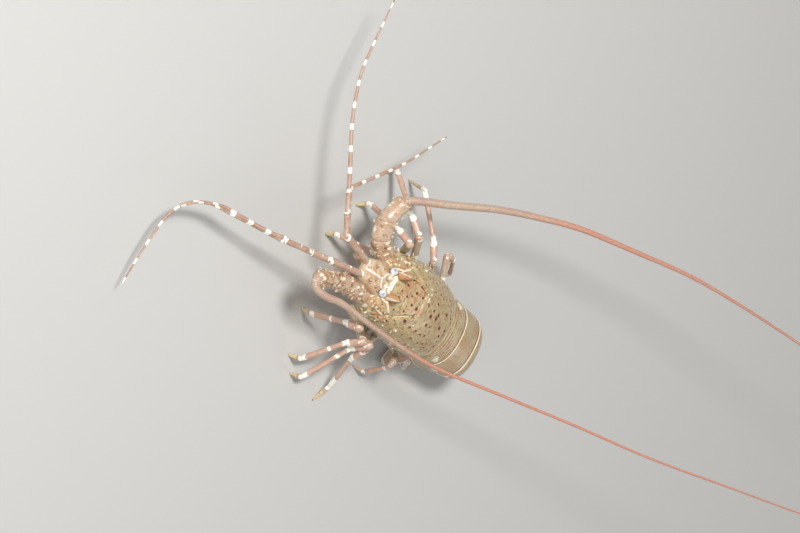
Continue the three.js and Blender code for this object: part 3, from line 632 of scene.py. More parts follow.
LEG = shell_material(
    "leg shell", (202, 168, 148), (194, 152, 130), (162, 112, 88), (120, 80, 52), WHITE,
    (226, 204, 144), cloud_size=7.0, speck_share=0.25, pits=0.4)
UNDER = shell_material(
    "under shell", (222, 196, 166), (208, 172, 144), (182, 136, 108), (146, 92, 68), WHITE,
    (208, 146, 110), cloud_size=7.0, speck_share=0.25, pits=0.4)
FAN = shell_material(
    "fan shell", (206, 176, 150), (192, 158, 128), (150, 106, 78), (104, 62, 44), WHITE,
    (204, 138, 94), cloud_size=6.0, speck_share=0.3, pits=0.3)
print("materials:", len(bpy.data.materials))

# %% [markdown]
# ## The carapace
# The carapace is a barrel that narrows to the front, with a groove across its neck, a domed
# stomach region before it and a rolled rim behind. A sculpted mesh could do this, but a function
# of the place along the body and the turn from the top keeps left and right alike and lets the
# relief, the spots and the pale lines share one set of coordinates.

# %% Carapace surface
CARAPACE = [
    [0, 29, 44.6, 9],
    [10, 31.2, 46.8, 7.6],
    [30, 33, 48.6, 7],
    [50, 32.8, 49.3, 7],
    [66, 31, 48.4, 7.4],
    [80, 28, 46, 8.6],
    [90, 25, 43.8, 10.4],
    [96, 22.4, 41.6, 12.4],
    [98.6, 20, 39.4, 14.6],
    [100, 16.5, 36.5, 17.5],
]
CARAPACE_LENGTH = 100
MM_PER_DEGREE = 0.54
ROUND_ABOVE = 0.92
ROUND_BELOW = 0.6


def carapace_point(x, turn, grow=0.0):
    """Body-frame point at x along the body and a turn in degrees from the top. Above the waist
    it is half width * sin^0.92 and height * cos^0.92 of the turn; below, the same with 0.6."""
    x, turn, grow = np.broadcast_arrays(*(np.asarray(v, float) for v in (x, turn, grow)))
    half, top, belly = np.moveaxis(along(CARAPACE, x), -1, 0)
    half, top, belly = half + grow, top + grow, belly - grow
    waist = belly + 0.4 * (top - belly)
    angle = np.radians(turn)
    above = np.abs(turn) <= 90
    power = np.where(above, ROUND_ABOVE, ROUND_BELOW)
    y = half * arch(np.sin(angle), power)
    reach = np.where(above, top - waist, waist - belly)
    z = waist + reach * arch(np.cos(angle), power)
    return np.stack([x, y, z], -1)


def out_of_carapace(x, turn):
    """Unit vector away from the carapace, from its slopes along the body and round it."""
    x, turn = np.asarray(x, float), np.asarray(turn, float)
    ahead = carapace_point(x + 0.5, turn) - carapace_point(x - 0.5, turn)
    round_it = carapace_point(x, turn + 0.5) - carapace_point(x, turn - 0.5)
    return unit(np.cross(ahead, round_it))


# The neck groove and the pale edges: x along the body, degrees from the top
NECK_GROOVE = [
    [59.6, 0], [60.2, 14], [67.8, 23.2], [72.6, 30.5], [77.2, 38.5], [81.2, 46.5], [84.5, 58],
    [87, 75], [88, 100],
]
NECK_PATCH = [[61.7, 11.4], [59.8, 1.6]]
STOMACH_RIM = [[62, 5], [66, 17.5], [75, 25], [84, 31], [92, 26], [95, 8]]
# A painted shadow along the right edge of the stomach dome and round its rear, drawn on one side only
DOME_SHADE_LINE = [
    [95.5, -22.5], [85.2, -25], [75, -23.5], [65.2, -16.5], [60, -5], [59.5, 8.5], [66.5, 18],
]
FRONT_BAR = [[97.8, 10], [97.6, -4], [96.4, -17]]
SIDE_PATCH = [[57, -16], [55, -8], [55, -22]]
ORBIT_EDGE = [[99.8, 33], [98.6, 35], [92.8, 32.5], [85.5, 41]]
HORN_EDGE = [[98.4, 13], [92.8, 32.5]]
CHEEK_EDGE = [[81, 47.5], [84.9, 53.1], [96.7, 62.2]]
# Dark spots: x along the body, degrees from the top to the left, radius
SPOTS = [
    [73.8, -8.3, 1.0], [65.3, -7.7, 0.9], [73.3, 7.5, 1.0], [66.4, 7.5, 1.3], [75.7, 20.9, 0.7],
    [43.3, 2.7, 1.3], [42.4, -4.5, 0.95], [32.8, -4, 1.1], [34.3, 0.4, 1.25], [40, -14.9, 0.95],
    [33.2, -26.2, 0.8], [39.5, -28.9, 0.8], [48.4, -27, 0.6], [65, -27.4, 0.7], [20.4, -11.9, 1.25],
    [13.9, -21.2, 0.8], [10.6, -12.6, 0.85], [8, -7.8, 0.6], [42.4, 14.4, 1.15], [36.9, 13.1, 0.7],
    [21.6, 6.2, 1.3], [11.2, 4.7, 1], [15, 14.6, 1], [9.6, 9.3, 0.7], [12.4, 22.8, 0.75],
    [9.4, 31.1, 0.8], [7.9, 42.8, 0.7], [48.6, 29.6, 0.95], [40.1, 29.3, 0.9], [34.1, 26.6, 0.85],
    [57.4, 31.9, 0.95], [54.7, 48.3, 0.6], [45.4, 42.6, 0.9], [33, 41.2, 0.8], [26.8, 37.5, 0.9],
    [20.6, 41.6, 0.85], [19.6, 47.5, 0.7], [52.5, -5.6, 0.9], [25.4, -37.9, 0.6], [66.8, 30.6, 1.5],
    [82, 2, 0.8], [86, -12, 0.9], [89, 10, 0.7],
]
# Pale blunt tubercles, the same on both sides
PALE_KNOBS = [
    [63.8, 52.5, 1.7], [55.3, 26.6, 0.9], [65.9, 19.6, 0.8], [37.4, 53.8, 0.9], [27.5, 53.9, 1.1],
    [11.7, 58.1, 0.8], [74, 66, 1], [52, 66, 0.9], [44, 78, 0.9], [20, 72, 0.8], [79, 57, 0.9],
]
rng = np.random.default_rng(11)


def scaled(line):
    """A line of (x, degrees) with its degrees as millimetres round the shell."""
    return np.asarray(line, float)[:, :2] * [1, MM_PER_DEGREE]


def scatter(count, spacing, taken, low, high):
    """Random (x, degrees) places inside a box, each a spacing away from those taken."""
    places = [np.asarray(p[:2], float) for p in taken]
    fresh = []
    for _ in range(40 * count):
        spot = rng.uniform(low, high)
        gaps = [np.hypot(spot[0] - p[0], MM_PER_DEGREE * (spot[1] - p[1])) for p in places]
        if min(gaps) > spacing:
            places.append(spot)
            fresh.append(spot)
        if len(fresh) == count:
            break
    return np.array(fresh)


pale_rows = np.array([[x, s * turn, r] for x, turn, r in PALE_KNOBS for s in (1, -1)])
far_side = scatter(26, 6.5, SPOTS, (8, -86), (80, -30))
near_side = scatter(10, 6.5, SPOTS, (8, 52), (80, 88))
front = scatter(16, 4.5, SPOTS, (74, -70), (96, 70))
small_spots = np.vstack([far_side, near_side, front])
spot_rows = np.vstack([SPOTS, np.c_[small_spots, rng.uniform(0.5, 0.85, len(small_spots))]])
print("spots on the carapace:", len(spot_rows), "pale tubercles:", len(pale_rows))

# %% [markdown]
# The relief is added along the outward direction: grooves are bells of negative depth around a
# line, domes are wide bells, and each spot stands on a low swelling, because on the real shell
# a dark spot with a reddish halo marks the top of a blunt tubercle.

# %% Carapace grid, grooves and edges
RINGS, ROUND, ROUND_TOP = 300, 300, 221
REAR_LIP = 1.2
share = np.linspace(0, 1, RINGS)
# The rings crowd a little toward the front
ring_x = -REAR_LIP + (CARAPACE_LENGTH + REAR_LIP) * (1.35 * share - 0.35 * share**2)
upper = np.linspace(-90, 90, ROUND_TOP)
lower = np.linspace(90, 270, ROUND - ROUND_TOP + 2)[1:-1]
ring_turn = np.concatenate([upper, lower])
ring_turn = np.where(ring_turn > 180, ring_turn - 360, ring_turn)
grid_x, grid_turn = np.meshgrid(ring_x, ring_turn, indexing="ij")
grid_arc = MM_PER_DEGREE * grid_turn
mirror_arc = np.abs(grid_arc)
base = carapace_point(grid_x, grid_turn)
out = out_of_carapace(np.clip(grid_x, 1, 99.4), grid_turn)


def on_both(line, width):
    """Nearness to a scaled line on the left of the shell, and to its mirror image on the right."""
    return near_line(grid_x, mirror_arc, line, width)


def on_one(line, width):
    """Nearness to a scaled line that isn't repeated on the other side."""
    return near_line(grid_x, grid_arc, line, width)


from_top = np.abs(grid_turn)
neck = scaled(NECK_GROOVE)
groove, groove_lip = on_both(neck, 1.5), on_both(neck + [2.6, 0], 1.6)
stomach = ramp(grid_x, 60, 68) * (1 - ramp(grid_x, 88, 97)) * (1 - ramp(from_top, 14, 30))
gill_dome = bump(grid_x, 32, 22) * bump(from_top, 48, 26)
above_edge = 1 - ramp(from_top, 95, 120)
rim_groove = bump(grid_x, 2, 0.7) * above_edge
rim_ridge = bump(grid_x, 3.6, 0.6) * above_edge
stomach_rim = on_both(scaled(STOMACH_RIM), 1.5)
orbit_edge = on_both(scaled(ORBIT_EDGE), 1.1)
horn_edge = on_both(scaled(HORN_EDGE), 1)
cheek_edge = on_both(scaled(CHEEK_EDGE), 0.9)
lower_edge = bump(from_top, 112, 4) * (1 - ramp(grid_x, 86, 96))
print("carapace grid:", grid_x.shape)

# %% Marks, and the shell with its relief
# Marks are this much longer than wide
STRETCH = 1.35


def dabs(rows, inner, outer):
    """Oval marks at rows of [x, degrees, radius], soft between two shares of the radius."""
    paint = np.zeros(grid_x.shape)
    for x, turn, radius in rows:
        near = np.abs(grid_x[:, 0] - x) < 5
        gap = np.hypot((grid_x[near] - x) / STRETCH, grid_arc[near] - MM_PER_DEGREE * turn)
        paint[near] = np.maximum(paint[near], 1 - ramp(gap, inner * radius, outer * radius))
    return paint


spot_paint = dabs(spot_rows, 0.7, 1.3)
spot_halo = dabs(spot_rows, 1, 2.3)
pale_paint = dabs(pale_rows, 0.5, 1.2)
relief = (
    -1.7 * groove + 0.5 * groove_lip + 0.9 * stomach + 0.5 * gill_dome
    - 0.6 * rim_groove + 0.5 * rim_ridge + 0.3 * stomach_rim
    + 0.6 * orbit_edge + 0.4 * horn_edge + 0.5 * cheek_edge + 0.6 * lower_edge
    + 0.22 * spot_halo + 0.5 * dabs(pale_rows, 0.6, 1.6) + 0.12 * ripple(base, 14, 3)
)
fade = ramp(100.4 - grid_x, 0, 3)
shell_grid = base + out * (relief * fade)[..., None]
print("relief from", relief.min().round(2), "to", relief.max().round(2), "mm")

# %% Cream, warm and dark paint
neck_patch = on_both(scaled(NECK_PATCH), 1.6) * (0.6 + 0.6 * ripple(base, 5, 14))
neck_pale = on_both(neck[1:7], 0.7) * (0.95 + 0.35 * ripple(base, 7, 15))
# The pale line is painted at under half strength on the right side, as painted shade where the groove
# is in shadow
neck_pale = neck_pale * np.where(grid_turn < 0, 0.45, 1)
# Painted shade: a dark line on one side of the dome, with a warm band round it in the warm paint below
dome_shade = on_one(scaled(DOME_SHADE_LINE), 0.8) * (0.95 + 0.3 * ripple(base, 9, 18))
side_patch = on_one(scaled(SIDE_PATCH), 2.2) * ramp(ripple(base, 4, 22), -0.2, 0.6)
low_patches = ramp(ripple(base, 7, 23), 0, 0.5) * bump(from_top, 92, 16) * ramp(grid_x, 5, 15)
cheek = ramp(grid_x, 80, 84) * bump(from_top, 56, 20) * above_edge
cream_paint = most(
    side_patch, low_patches, 1.2 * on_one(scaled(FRONT_BAR), 0.95), 1.2 * orbit_edge,
    0.9 * horn_edge, cheek_edge, neck_patch, neck_pale, 0.8 * lower_edge,
    0.8 * cheek * ramp(ripple(base, 3.6, 20), 0.35, 0.8),
    0.75 * ramp(from_top, 112, 130), pale_paint, 0.7 * rim_ridge)
mottle = np.clip(0.55 + 0.6 * ripple(base, 5.5, 16), 0, 1)
by_horns = ramp(grid_x, 84, 92) * bump(from_top, 27, 13)
blush = 0.5 * stomach * (0.8 + 0.4 * ripple(base, 12, 17))
pink_rim = 0.4 * ramp(2.4 - grid_x, 0, 1) * above_edge
# The warm band along the dome's edge is part of the painted shadow
warm_paint = most(
    0.85 * by_horns, 0.9 * on_one(scaled(DOME_SHADE_LINE), 1.6), blush, 0.6 * spot_halo,
    0.8 * cheek * mottle, pink_rim, 0.45 * bump(grid_x, 36, 9) * bump(grid_turn, 4, 12) * mottle)
dark_paint = most(
    0.6 * cheek * ramp(ripple(base, 4.5, 19), 0.7, 1.1), 0.5 * rim_groove, dome_shade,
    0.4 * on_both(neck - [1.9, 0], 0.7) * above_edge)
print("painted share of cream:", cream_paint.mean().round(3))

# %% Close both ends
# The front is closed by rings that draw in to the mouth frame
drawn = np.array([0.93, 0.8, 0.6, 0.35, 0.12])
front_middle = shell_grid[-1].mean(0)
closing = front_middle + (shell_grid[-1] - front_middle) * drawn[:, None, None]
closing[..., 0] -= 1.5 * (1 - drawn[:, None] ** 2)
tail_middle = shell_grid[0].mean(0)
opening = tail_middle + (shell_grid[0] - tail_middle) * drawn[::-1, None, None]
opening[..., 0] += 2.5 * (1 - drawn[::-1, None] ** 2)


def ended(values, fill):
    """Painted values with rows added for the rings that close both ends."""
    ends = np.full((len(drawn), values.shape[1]), float(fill))
    return np.vstack([ends, values, ends])


carapace_grid = shell_on_floor(np.vstack([opening, shell_grid, closing]))
carapace_part = skin(
    carapace_grid, spot=ended(spot_paint, 0), cream=ended(cream_paint, 0.7),
    warm=ended(warm_paint, 0.2), dark=ended(dark_paint, 0),
)
piece("carapace_skin", [carapace_part], "carapace_shell", SHELL, "carapace")
print("carapace triangles:", made["carapace_skin"])

# %% Carapace spines and tubercles
CARAPACE_SPINES = [
    [87, 18, 6], [80, 20, 5.2], [72, 21, 4.5], [63, 16, 3.5], [95, 52, 8], [87, 46, 5],
    [92, 78, 7.5], [82, 70, 5], [75, 50, 4], [70, 82, 4.5], [64, 60, 4], [52, 40, 3],
    [48, 74, 3.6], [36, 58, 3], [33, 84, 3.2], [24, 30, 2.4], [17, 66, 2.8], [8, 44, 2.2],
    [6, 80, 2.6],
]
spines = np.array([[x, s * turn, length] for x, turn, length in CARAPACE_SPINES for s in (1, -1)])
spine_out = out_of_carapace(spines[:, 0], spines[:, 1])
spine_feet = carapace_point(spines[:, 0], spines[:, 1])
still = shell_on_floor([0, 0, 0])
turned = shell_on_floor(spine_out + [0.75, 0, 0]) - still
forward = shell_on_floor([1, 0, 0]) - still
spine_part = spikes(
    shell_on_floor(spine_feet), turned, spines[:, 2], 0.25 * spines[:, 2], forward, sides=10,
    foot_warm=0.45, foot_dark_and_shade=0.3)
piece("carapace_spines", [spine_part], "carapace_shell", SPINE, "carapace")

KNOB_HEIGHTS = np.array([-0.5, 0, 0.35, 0.7, 0.92])


def knobs(rows, height, width, **paint):
    """Low blunt tubercles at rows of [x, degrees, radius] on the carapace."""
    away = out_of_carapace(rows[:, 0], rows[:, 1])
    feet = carapace_point(rows[:, 0], rows[:, 1]) + 0.15 * away
    axis = shell_on_floor(away + [0.1, 0, 0]) - still
    points, quads, tris, full = spikes(
        shell_on_floor(feet), axis, height * rows[:, 2], width * rows[:, 2],
        sides=6, heights=KNOB_HEIGHTS)
    for name in PAINTS:
        full[name] = np.full(len(points), paint.get(name, 0.0))
    return points, quads, tris, full


dark_knobs = knobs(spot_rows, 0.45, 0.5, spot=1.0)
pale_knobs = knobs(pale_rows, 1.0, 0.5, cream=1.0)
piece("carapace_tubercles", [dark_knobs, pale_knobs], "carapace_shell", SHELL, "carapace")
print("spines:", len(spines), "tubercles:", len(spot_rows) + len(pale_rows))

# %% [markdown]
# ## The face
# Two great horns stand over the eyes. Between them lie the short eye stalks, and in front the
# plate that carries the feelers, with a white mark in the shape of a Y and two pairs of spines.

# %% Horns
HORN_LINE = [
    [92, 8.6, 36, 4.2], [94.7, 8.8, 42.5, 3.8], [96.6, 9, 47.6, 3], [98.4, 9.3, 52.2, 1.8],
    [100.6, 9.6, 56, 0.3],
]
SIDES = (("left", 1), ("right", -1))


def mirrored(rows, side, place=shell_on_floor):
    """Body-frame rows with y on one side, on the floor frame."""
    return place(np.asarray(rows, float)[:, :3] * [1, side, 1])


HORN_RINGS = 60
for word, side in SIDES:
    knots = mirrored(HORN_LINE, side)
    line, _ = smooth_line(knots, HORN_RINGS)
    t = np.linspace(0, 1, HORN_RINGS)
    radius = radii_at(knots, np.array(HORN_LINE)[:, 3], t)
    grid, turn = bar(line, 0.86 * radius, radius, 40)
    front = ramp(np.cos(turn + np.pi / 2 - 0.8 * side), 0.86, 0.98)[None]
    part = skin(
        grid, cream=0.95 * front * (t[:, None] < 0.9),
        dark=most(0.6 * ramp(np.abs(np.cos(turn)), 0.75, 0.95), (0.45 * bump(t, 0.66, 0.08))[:, None]),
        warm=(0.5 * bump(t, 0.4, 0.3))[:, None])
    piece(f"horn_{word}_skin", [part], "horn_shell", HORN, f"horn_{word}")
print("a horn has", made["horn_left_skin"], "triangles")

# %% Eyes and stalks
EYE = [99.8, 9, 37.2]
EYE_RADIUS = 3.3
EYE_RINGS = 40
STALK_RADIUS = 2.3
STALK_RINGS = 30


def make_eye_material():
    """Glossy facets: dark all round, with a painted reflection of the light in pale blue-grey on the
    side that faces up and ahead.
    """
    material = bpy.data.materials.new("eye gloss")
    material.use_nodes = True
    tree = material.node_tree
    shader = tree.nodes["Principled BSDF"]
    where = put(tree, "TexCoord").outputs["Object"]
    facets = put(tree, "TexVoronoi", {"Vector": where, "Scale": 4000.0})
    haze = put(tree, "TexNoise", {"Vector": where, "Scale": 500.0})
    painted_reflection = put(tree, "Attribute", attribute_name="cream")
    tone = mixed(tree, haze.outputs[0], colour(70, 72, 82), colour(104, 108, 118))
    # The pale tone is a painted reflection of the light, laid where the cream mask is high
    tone = mixed(tree, painted_reflection.outputs["Fac"], tone, colour(214, 220, 224))
    tree.links.new(tone, shader.inputs["Base Color"])
    facet = put(tree, "Bump", {"Height": facets.outputs[0], "Strength": 0.12, "Distance": 0.0001})
    tree.links.new(facet.outputs[0], shader.inputs["Normal"])
    shader.inputs["Roughness"].default_value = 0.12
    shader.inputs["Coat Weight"].default_value = 1.0
    shader.inputs["Coat Roughness"].default_value = 0.04
    return material


EYE_GLOSS = make_eye_material()
for word, side in SIDES:
    centre = mirrored([EYE], side)[0]
    inward = unit(np.array([-0.45, -0.85 * side, 0.1]))
    place = np.sin(np.linspace(-np.pi / 2, np.pi / 2, EYE_RINGS + 2)[1:-1])
    line = centre + inward * (place * EYE_RADIUS)[:, None]
    radius = EYE_RADIUS * np.sqrt(1 - place**2)
    grid, _ = bar(line, 1.12 * radius, radius, EYE_RINGS)
    facing_light = unit(grid - centre) @ unit(np.array([0.6, 0.25 * side, 0.78]))
    # Cream here is a painted reflection: pale where the ball faces up and ahead, a little less in the
    # very middle
    part = skin(grid, cream=ramp(facing_light, 0.3, 0.7) * (1 - 0.55 * ramp(facing_light, 0.88, 0.97)))
    piece(f"eye_{word}_ball", [part], "eye", EYE_GLOSS, f"eye_{word}")
    x, y, z = EYE
    knots = mirrored([[x + 0.8, 1.2, z], [x + 0.6, 5.6, z], [x, y, z]], side)
    stalk, _ = smooth_line(knots, STALK_RINGS)
    t = np.linspace(0, 1, STALK_RINGS)
    width = STALK_RADIUS * (0.8 + 0.25 * ramp(t, 0, 0.6) - 0.1 * bump(t, 0.5, 0.1))
    grid, turn = bar(stalk, width, width, 28)
    part = skin(grid, cream=0.75 * bump(t, 0.3, 0.1)[:, None] * (0.8 + 0.3 * np.sin(turn)))
    piece(f"eyestalk_{word}_skin", [part], "under_shell", PLATE, f"eyestalk_{word}")
print("an eye has", made["eye_left_ball"], "triangles and its stalk", made["eyestalk_left_skin"])

# %% Plate between the feelers
PLATE_ROWS = [
    [97, 13.4, 35.5, 20], [104, 13, 35, 19.5], [111, 11, 33, 19.5], [117, 9, 30.6, 20],
    [121, 6.6, 28, 21.5],
]
PLATE_SPINES = [[114, 5.6, 6.5], [107, 7.6, 5], [118, 2.6, 3], [103.5, 9.5, 3]]
PLATE_RINGS = 120
x = np.linspace(PLATE_ROWS[0][0], PLATE_ROWS[-1][0], PLATE_RINGS)
half, top, under = along(PLATE_ROWS, x).T
turn = np.linspace(0, 2 * np.pi, PLATE_RINGS, endpoint=False)
wide = half[:, None] * arch(np.cos(turn), 0.62)
middle, tall = (0.5 * (top + under))[:, None], (0.5 * (top - under))[:, None]
high = middle + tall * arch(np.sin(turn), 0.7)
grid = np.stack(np.broadcast_arrays(x[:, None], wide, high), -1)
on_top = np.sin(turn) > 0
# The white Y: its stem along the middle, and one of its two arms
STEM = [[106.3, 0.6], [118.2, 0.3], [122, 0.3]]
ARM = [[106.3, 0.3], [102.2, 5.6], [99.4, 7.4]]
Y_WIDTH = 0.62
along_it, aside = grid[..., 0], np.abs(grid[..., 1])
stem = near_line(along_it, grid[..., 1], STEM, Y_WIDTH) * on_top
arms = near_line(along_it, np.abs(grid[..., 1] - 0.3), ARM, Y_WIDTH) * on_top
between = (1 - ramp(along_it, 103.5, 106)) * (1 - ramp(aside, 5, 7)) * on_top
edge = bump(aside / half[:, None], 0.86, 0.08) * on_top
rise = 0.5 * stem + 0.5 * arms - 0.4 * bump(aside, 3.2, 1.4) * on_top + 0.1 * ripple(grid, 6, 5)
grid[..., 2] += rise
brownish = np.clip(0.62 + 0.4 * ripple(grid, 6, 8), 0, 1) * (1 - between) * (1 - stem) * on_top
part = skin(
    shell_on_floor(grid), cream=most(1.2 * stem, 1.2 * arms, 0.4 * edge),
    warm=0.8 * brownish * (1 - ramp(along_it, 114, 120)),
    dark=0.5 * np.clip(ripple(grid, 4, 9) - 0.5, 0, 1) * on_top * (1 - between))
rows = np.array([[px, s * py, ps] for px, py, ps in PLATE_SPINES for s in (1, -1)])
plate_top = along(PLATE_ROWS, rows[:, 0])[:, 1]
axis = np.c_[np.full(len(rows), 0.55), 0.12 * np.sign(rows[:, 1]), np.full(len(rows), 0.85)]
feet = shell_on_floor(np.c_[rows[:, 0], rows[:, 1], plate_top - 1])
spine_part = spikes(feet, axis, rows[:, 2], 0.26 * rows[:, 2], forward, sides=10)
piece("feeler_plate_skin", [part], "plate_shell", PLATE, "feeler_plate")
piece("feeler_plate_spines", [spine_part], "plate_shell", SPINE, "feeler_plate")
print("face pieces:", [name for name in made if "plate" in name or "eye" in name])

# %% [markdown]
# ## The breast plate
# Under the body a pale plate runs between the legs, widest behind, with a groove for each pair.

# %% Breast plate
BREAST = [[0, 16], [10, 20], [24, 20.5], [38, 17.5], [52, 13.5], [62, 10], [70, 7]]
BREAST_THICKNESS = 6.4
LEG_ROOTS = [[61, 16, 3.5], [48, 20, 3], [35, 23.5, 3], [22, 26, 3], [9, 26, 4]]
x = np.linspace(BREAST[0][0], BREAST[-1][0], 140)
half = along(BREAST, x)[:, 0]
turn = np.linspace(0, 2 * np.pi, 80, endpoint=False)
wide = half[:, None] * arch(np.cos(turn), 0.5)
high = 0.5 * BREAST_THICKNESS * (1 + arch(np.sin(turn), 0.6))
grid = np.stack(np.broadcast_arrays(x[:, None], wide, high), -1)
below = np.sin(turn) < 0
bars = sum(bump(x, root[0] - 6, 1.1) for root in LEG_ROOTS)[:, None]
keel = bump(grid[..., 1], 0, 1.4)
grid[..., 2] += below * (0.9 * bars + 0.1 * ripple(grid, 8, 21))
part = skin(
    shell_on_floor(grid), cream=np.clip(0.3 + 0.6 * keel, 0, 1) * below, warm=0.7 * bars * below)
piece("breast_plate_skin", [part], "under_shell", UNDER, "breast_plate")
print("breast plate:", made["breast_plate_skin"], "triangles")

# %% [markdown]
# ## The tail
# Six rings run back from the carapace and curl under the body. Each slides under the ring before
# it, so its front edge dips and its rear edge swells, with a dark line and a pale line along the
# edge. The line of the back is straight at first and then a circle, worked out from the lengths.

# %% Line of the back
TAIL_LENGTHS = np.array([19, 26, 22, 20, 19, 18.0])
TAIL_HALF_WIDTHS = [27.6, 27.4, 26.4, 25, 23, 20.5, 17.8]
TAIL_DEPTHS = [34, 31, 25, 24.2, 23.4, 22.4, 20]
TAIL_TOP = 45.6
TAIL_FLOOR = 1
# Side lobe of each ring: how far it hangs down and how far it spreads outward
PLEURA = [[3, 3.6], [4.5, 4.4], [3.5, 2.6], [2.4, 1.6], [1.6, 1], [0.8, 0.5]]
straight = TAIL_LENGTHS[:2].sum()
curled = TAIL_LENGTHS[2:].sum()
back_start = on_floor([0, 0, TAIL_TOP])
backward = np.array([-math.cos(PITCH), 0, -math.sin(PITCH)])
curl_start = back_start + straight * backward
curl_radius = (curl_start[2] - TAIL_FLOOR) / (1 + math.cos(PITCH))
curl_centre = curl_start + curl_radius * np.array([math.sin(PITCH), 0, -math.cos(PITCH)])


def back_line(distance):
    """Point, travel and inward vectors at distances along the back: a straight line, and then
    a circle that turns from the pitch to level."""
    turn = np.maximum(0, (distance - straight) / curled) * (math.pi - PITCH)
    heading = math.pi + PITCH + turn
    zero = np.zeros_like(heading)
    travel = np.stack([np.cos(heading), zero, np.sin(heading)], -1)
    inward = np.stack([-np.sin(heading), zero, np.cos(heading)], -1)
    line = back_start + np.asarray(distance)[..., None] * backward
    circle = curl_centre - curl_radius * inward
    return np.where((turn > 0)[..., None], circle, line), travel, inward


print("the tail curls on a circle of", round(2 * curl_radius, 1), "mm across")

# %% The section of a tail ring
RING_GAP = 0.3
TAIL_RINGS = 64
FIRST_GROOVES = (0.2, 0.36, 0.52, 0.68)
# Below each side: distance from the half width, share of the spread, share of the flap
LOBE_FOLDS = [
    (-0.2, 0.45, 0.25), (-0.4, 0.8, 0.6), (-0.7, 0.95, 0.85), (-1.4, 1, 1), (-2.6, 0.85, 0.85),
    (-4.8, 0.5, 0.5),
]
LOBE_TURNS = np.array([96, 102, 108, 114, 120, 126.0])
BELLY = np.linspace(1, -1, 25)[1:-1]
ARCH_TURNS = np.linspace(-90, 90, 161)
# Degrees from the top round a whole ring; the belly counts as the bottom
AROUND_RING = np.concatenate([ARCH_TURNS, LOBE_TURNS, np.full(len(BELLY), 180.0), -LOBE_TURNS[::-1]])


def ring_swell(index, t):
    """How far the shell swells over the share of a ring's length: a dipped front edge, a raised
    rear edge with a fold before it, and four grooves across the first ring."""
    dip = (1.5 if index == 0 else 1.0) * (1 - ramp(t, 0, 0.22))
    swell = 0.9 * t**2 - dip - 0.35 * bump(t, 0.9, 0.03) + 0.35 * bump(t, 0.96, 0.03)
    if index == 0:
        swell = swell - sum(0.35 * bump(t, at, 0.025) for at in FIRST_GROOVES)
    return swell


def tail_ring(index, t):
    """Grid of a tail ring. The arch is half width * sin^0.86 across and height * cos^0.86 up
    over the turn, the side lobes hang below it as rows of folds, and the belly is hollowed."""
    start, length = TAIL_LENGTHS[:index].sum(), TAIL_LENGTHS[index]
    point, travel, inward = back_line(start + 0.5 * RING_GAP + (length - RING_GAP) * t)
    half_in, half_out = TAIL_HALF_WIDTHS[index:index + 2]
    depth_in, depth_out = TAIL_DEPTHS[index:index + 2]
    half = (half_in * (1 - t) + half_out * t - 0.9)[:, None]
    depth = (depth_in * (1 - t) + depth_out * t)[:, None]
    swell = ring_swell(index, t)[:, None]
    lobe = np.sin(math.pi * np.minimum(1, 0.12 + 0.8 * t))[:, None]
    flap, spread = PLEURA[index][0] * lobe, PLEURA[index][1] * lobe
    angle = np.radians(ARCH_TURNS)[None]
    shoulder = 0.62 * depth
    reach = np.abs(np.sin(angle)) ** 0.86
    y = (half + swell + 0.3 * spread * reach**6) * np.sign(angle) * reach
    down = shoulder - (shoulder + swell) * np.abs(np.cos(angle)) ** 0.86
    right = [half + inset + share * spread + swell * (inset > -1) for inset, share, _ in LOBE_FOLDS]
    drop = [depth + share * flap for _, _, share in LOBE_FOLDS]
    inner = half - 4.8 + 0.5 * spread
    middle_y = [place * inner for place in BELLY]
    middle_down = [depth + 0.5 * flap - 1.2 * math.cos(0.5 * math.pi * place) for place in BELLY]
    y = np.hstack([y] + right + middle_y + [-v for v in right[::-1]])
    down = np.hstack([down] + drop + middle_down + drop[::-1])
    level = np.array([0, 1.0, 0])
    return point[:, None] + inward[:, None] * down[..., None] + level * y[..., None]


print("points round a tail ring:", len(AROUND_RING))

# %% Paint of a tail ring
def tail_paint(index, grid, t, where):
    """Masks over the share of the length and the turn: a dark fold and pale edges across the
    back, pale blotches at the sides, a rosy middle and pale rims on the side lobes."""
    on_back = np.abs(where) < 130
    fold = bump(t, 0.895, 0.03) * on_back
    pale_edge = np.maximum(bump(t, 0.96, 0.03), 0.6 * bump(t, 0.84, 0.012)) * on_back
    if index == 0:
        lines = sum(bump(t, at, 0.02) for at in (*FIRST_GROOVES, 0.8)) * on_back
        between = sum(bump(t, at, 0.03) for at in (0.28, 0.44, 0.6)) * on_back
        pale_edge = np.maximum(pale_edge, 0.5 * between)
        blotch = bump(t, 0.6, 0.24) * bump(where, 53, 11) + bump(t, 0.45, 0.28) * bump(where, -56, 12)
    else:
        lines = 0.5 * bump(t, 0.79, 0.012) * on_back
        blotch = 0.9 * bump(t, 0.5, 0.2) * bump(np.abs(where), 84, 8) * (index < 4)
    lobe_edge = ramp(np.abs(where), 98, 108) * (np.abs(where) < 130)
    rosy = bump(t, 0.45, 0.3) * bump(where, 8, 26) * (index > 0)
    wave = ripple(grid, 9, 30 + index)
    return {
        "cream": most(pale_edge, blotch * (0.9 + 0.4 * wave), 0.9 * lobe_edge),
        "dark": most(0.85 * fold, 0.8 * lines * (0.9 + 0.3 * wave)),
        "warm": most(
            0.5 * rosy * (0.9 + 0.2 * wave), 0.5 * bump(t, 0.86, 0.05) * on_back,
            0.4 * bump(np.abs(where), 92, 7)),
    }


t = np.linspace(0, 1, TAIL_RINGS)
for index in range(6):
    grid = tail_ring(index, t)
    part = skin(grid, **tail_paint(index, grid, t[:, None], AROUND_RING[None]))
    piece(f"tail_{index + 1}_ring", [part], "tail_shell", TAIL, f"tail_{index + 1}")
print("tail rings:", 6, "of", made["tail_1_ring"], "triangles")

# %% [markdown]
# ## The tail fan
# Five thin petals: stiff and ribbed at the root, soft and finely striped to a pale edge.

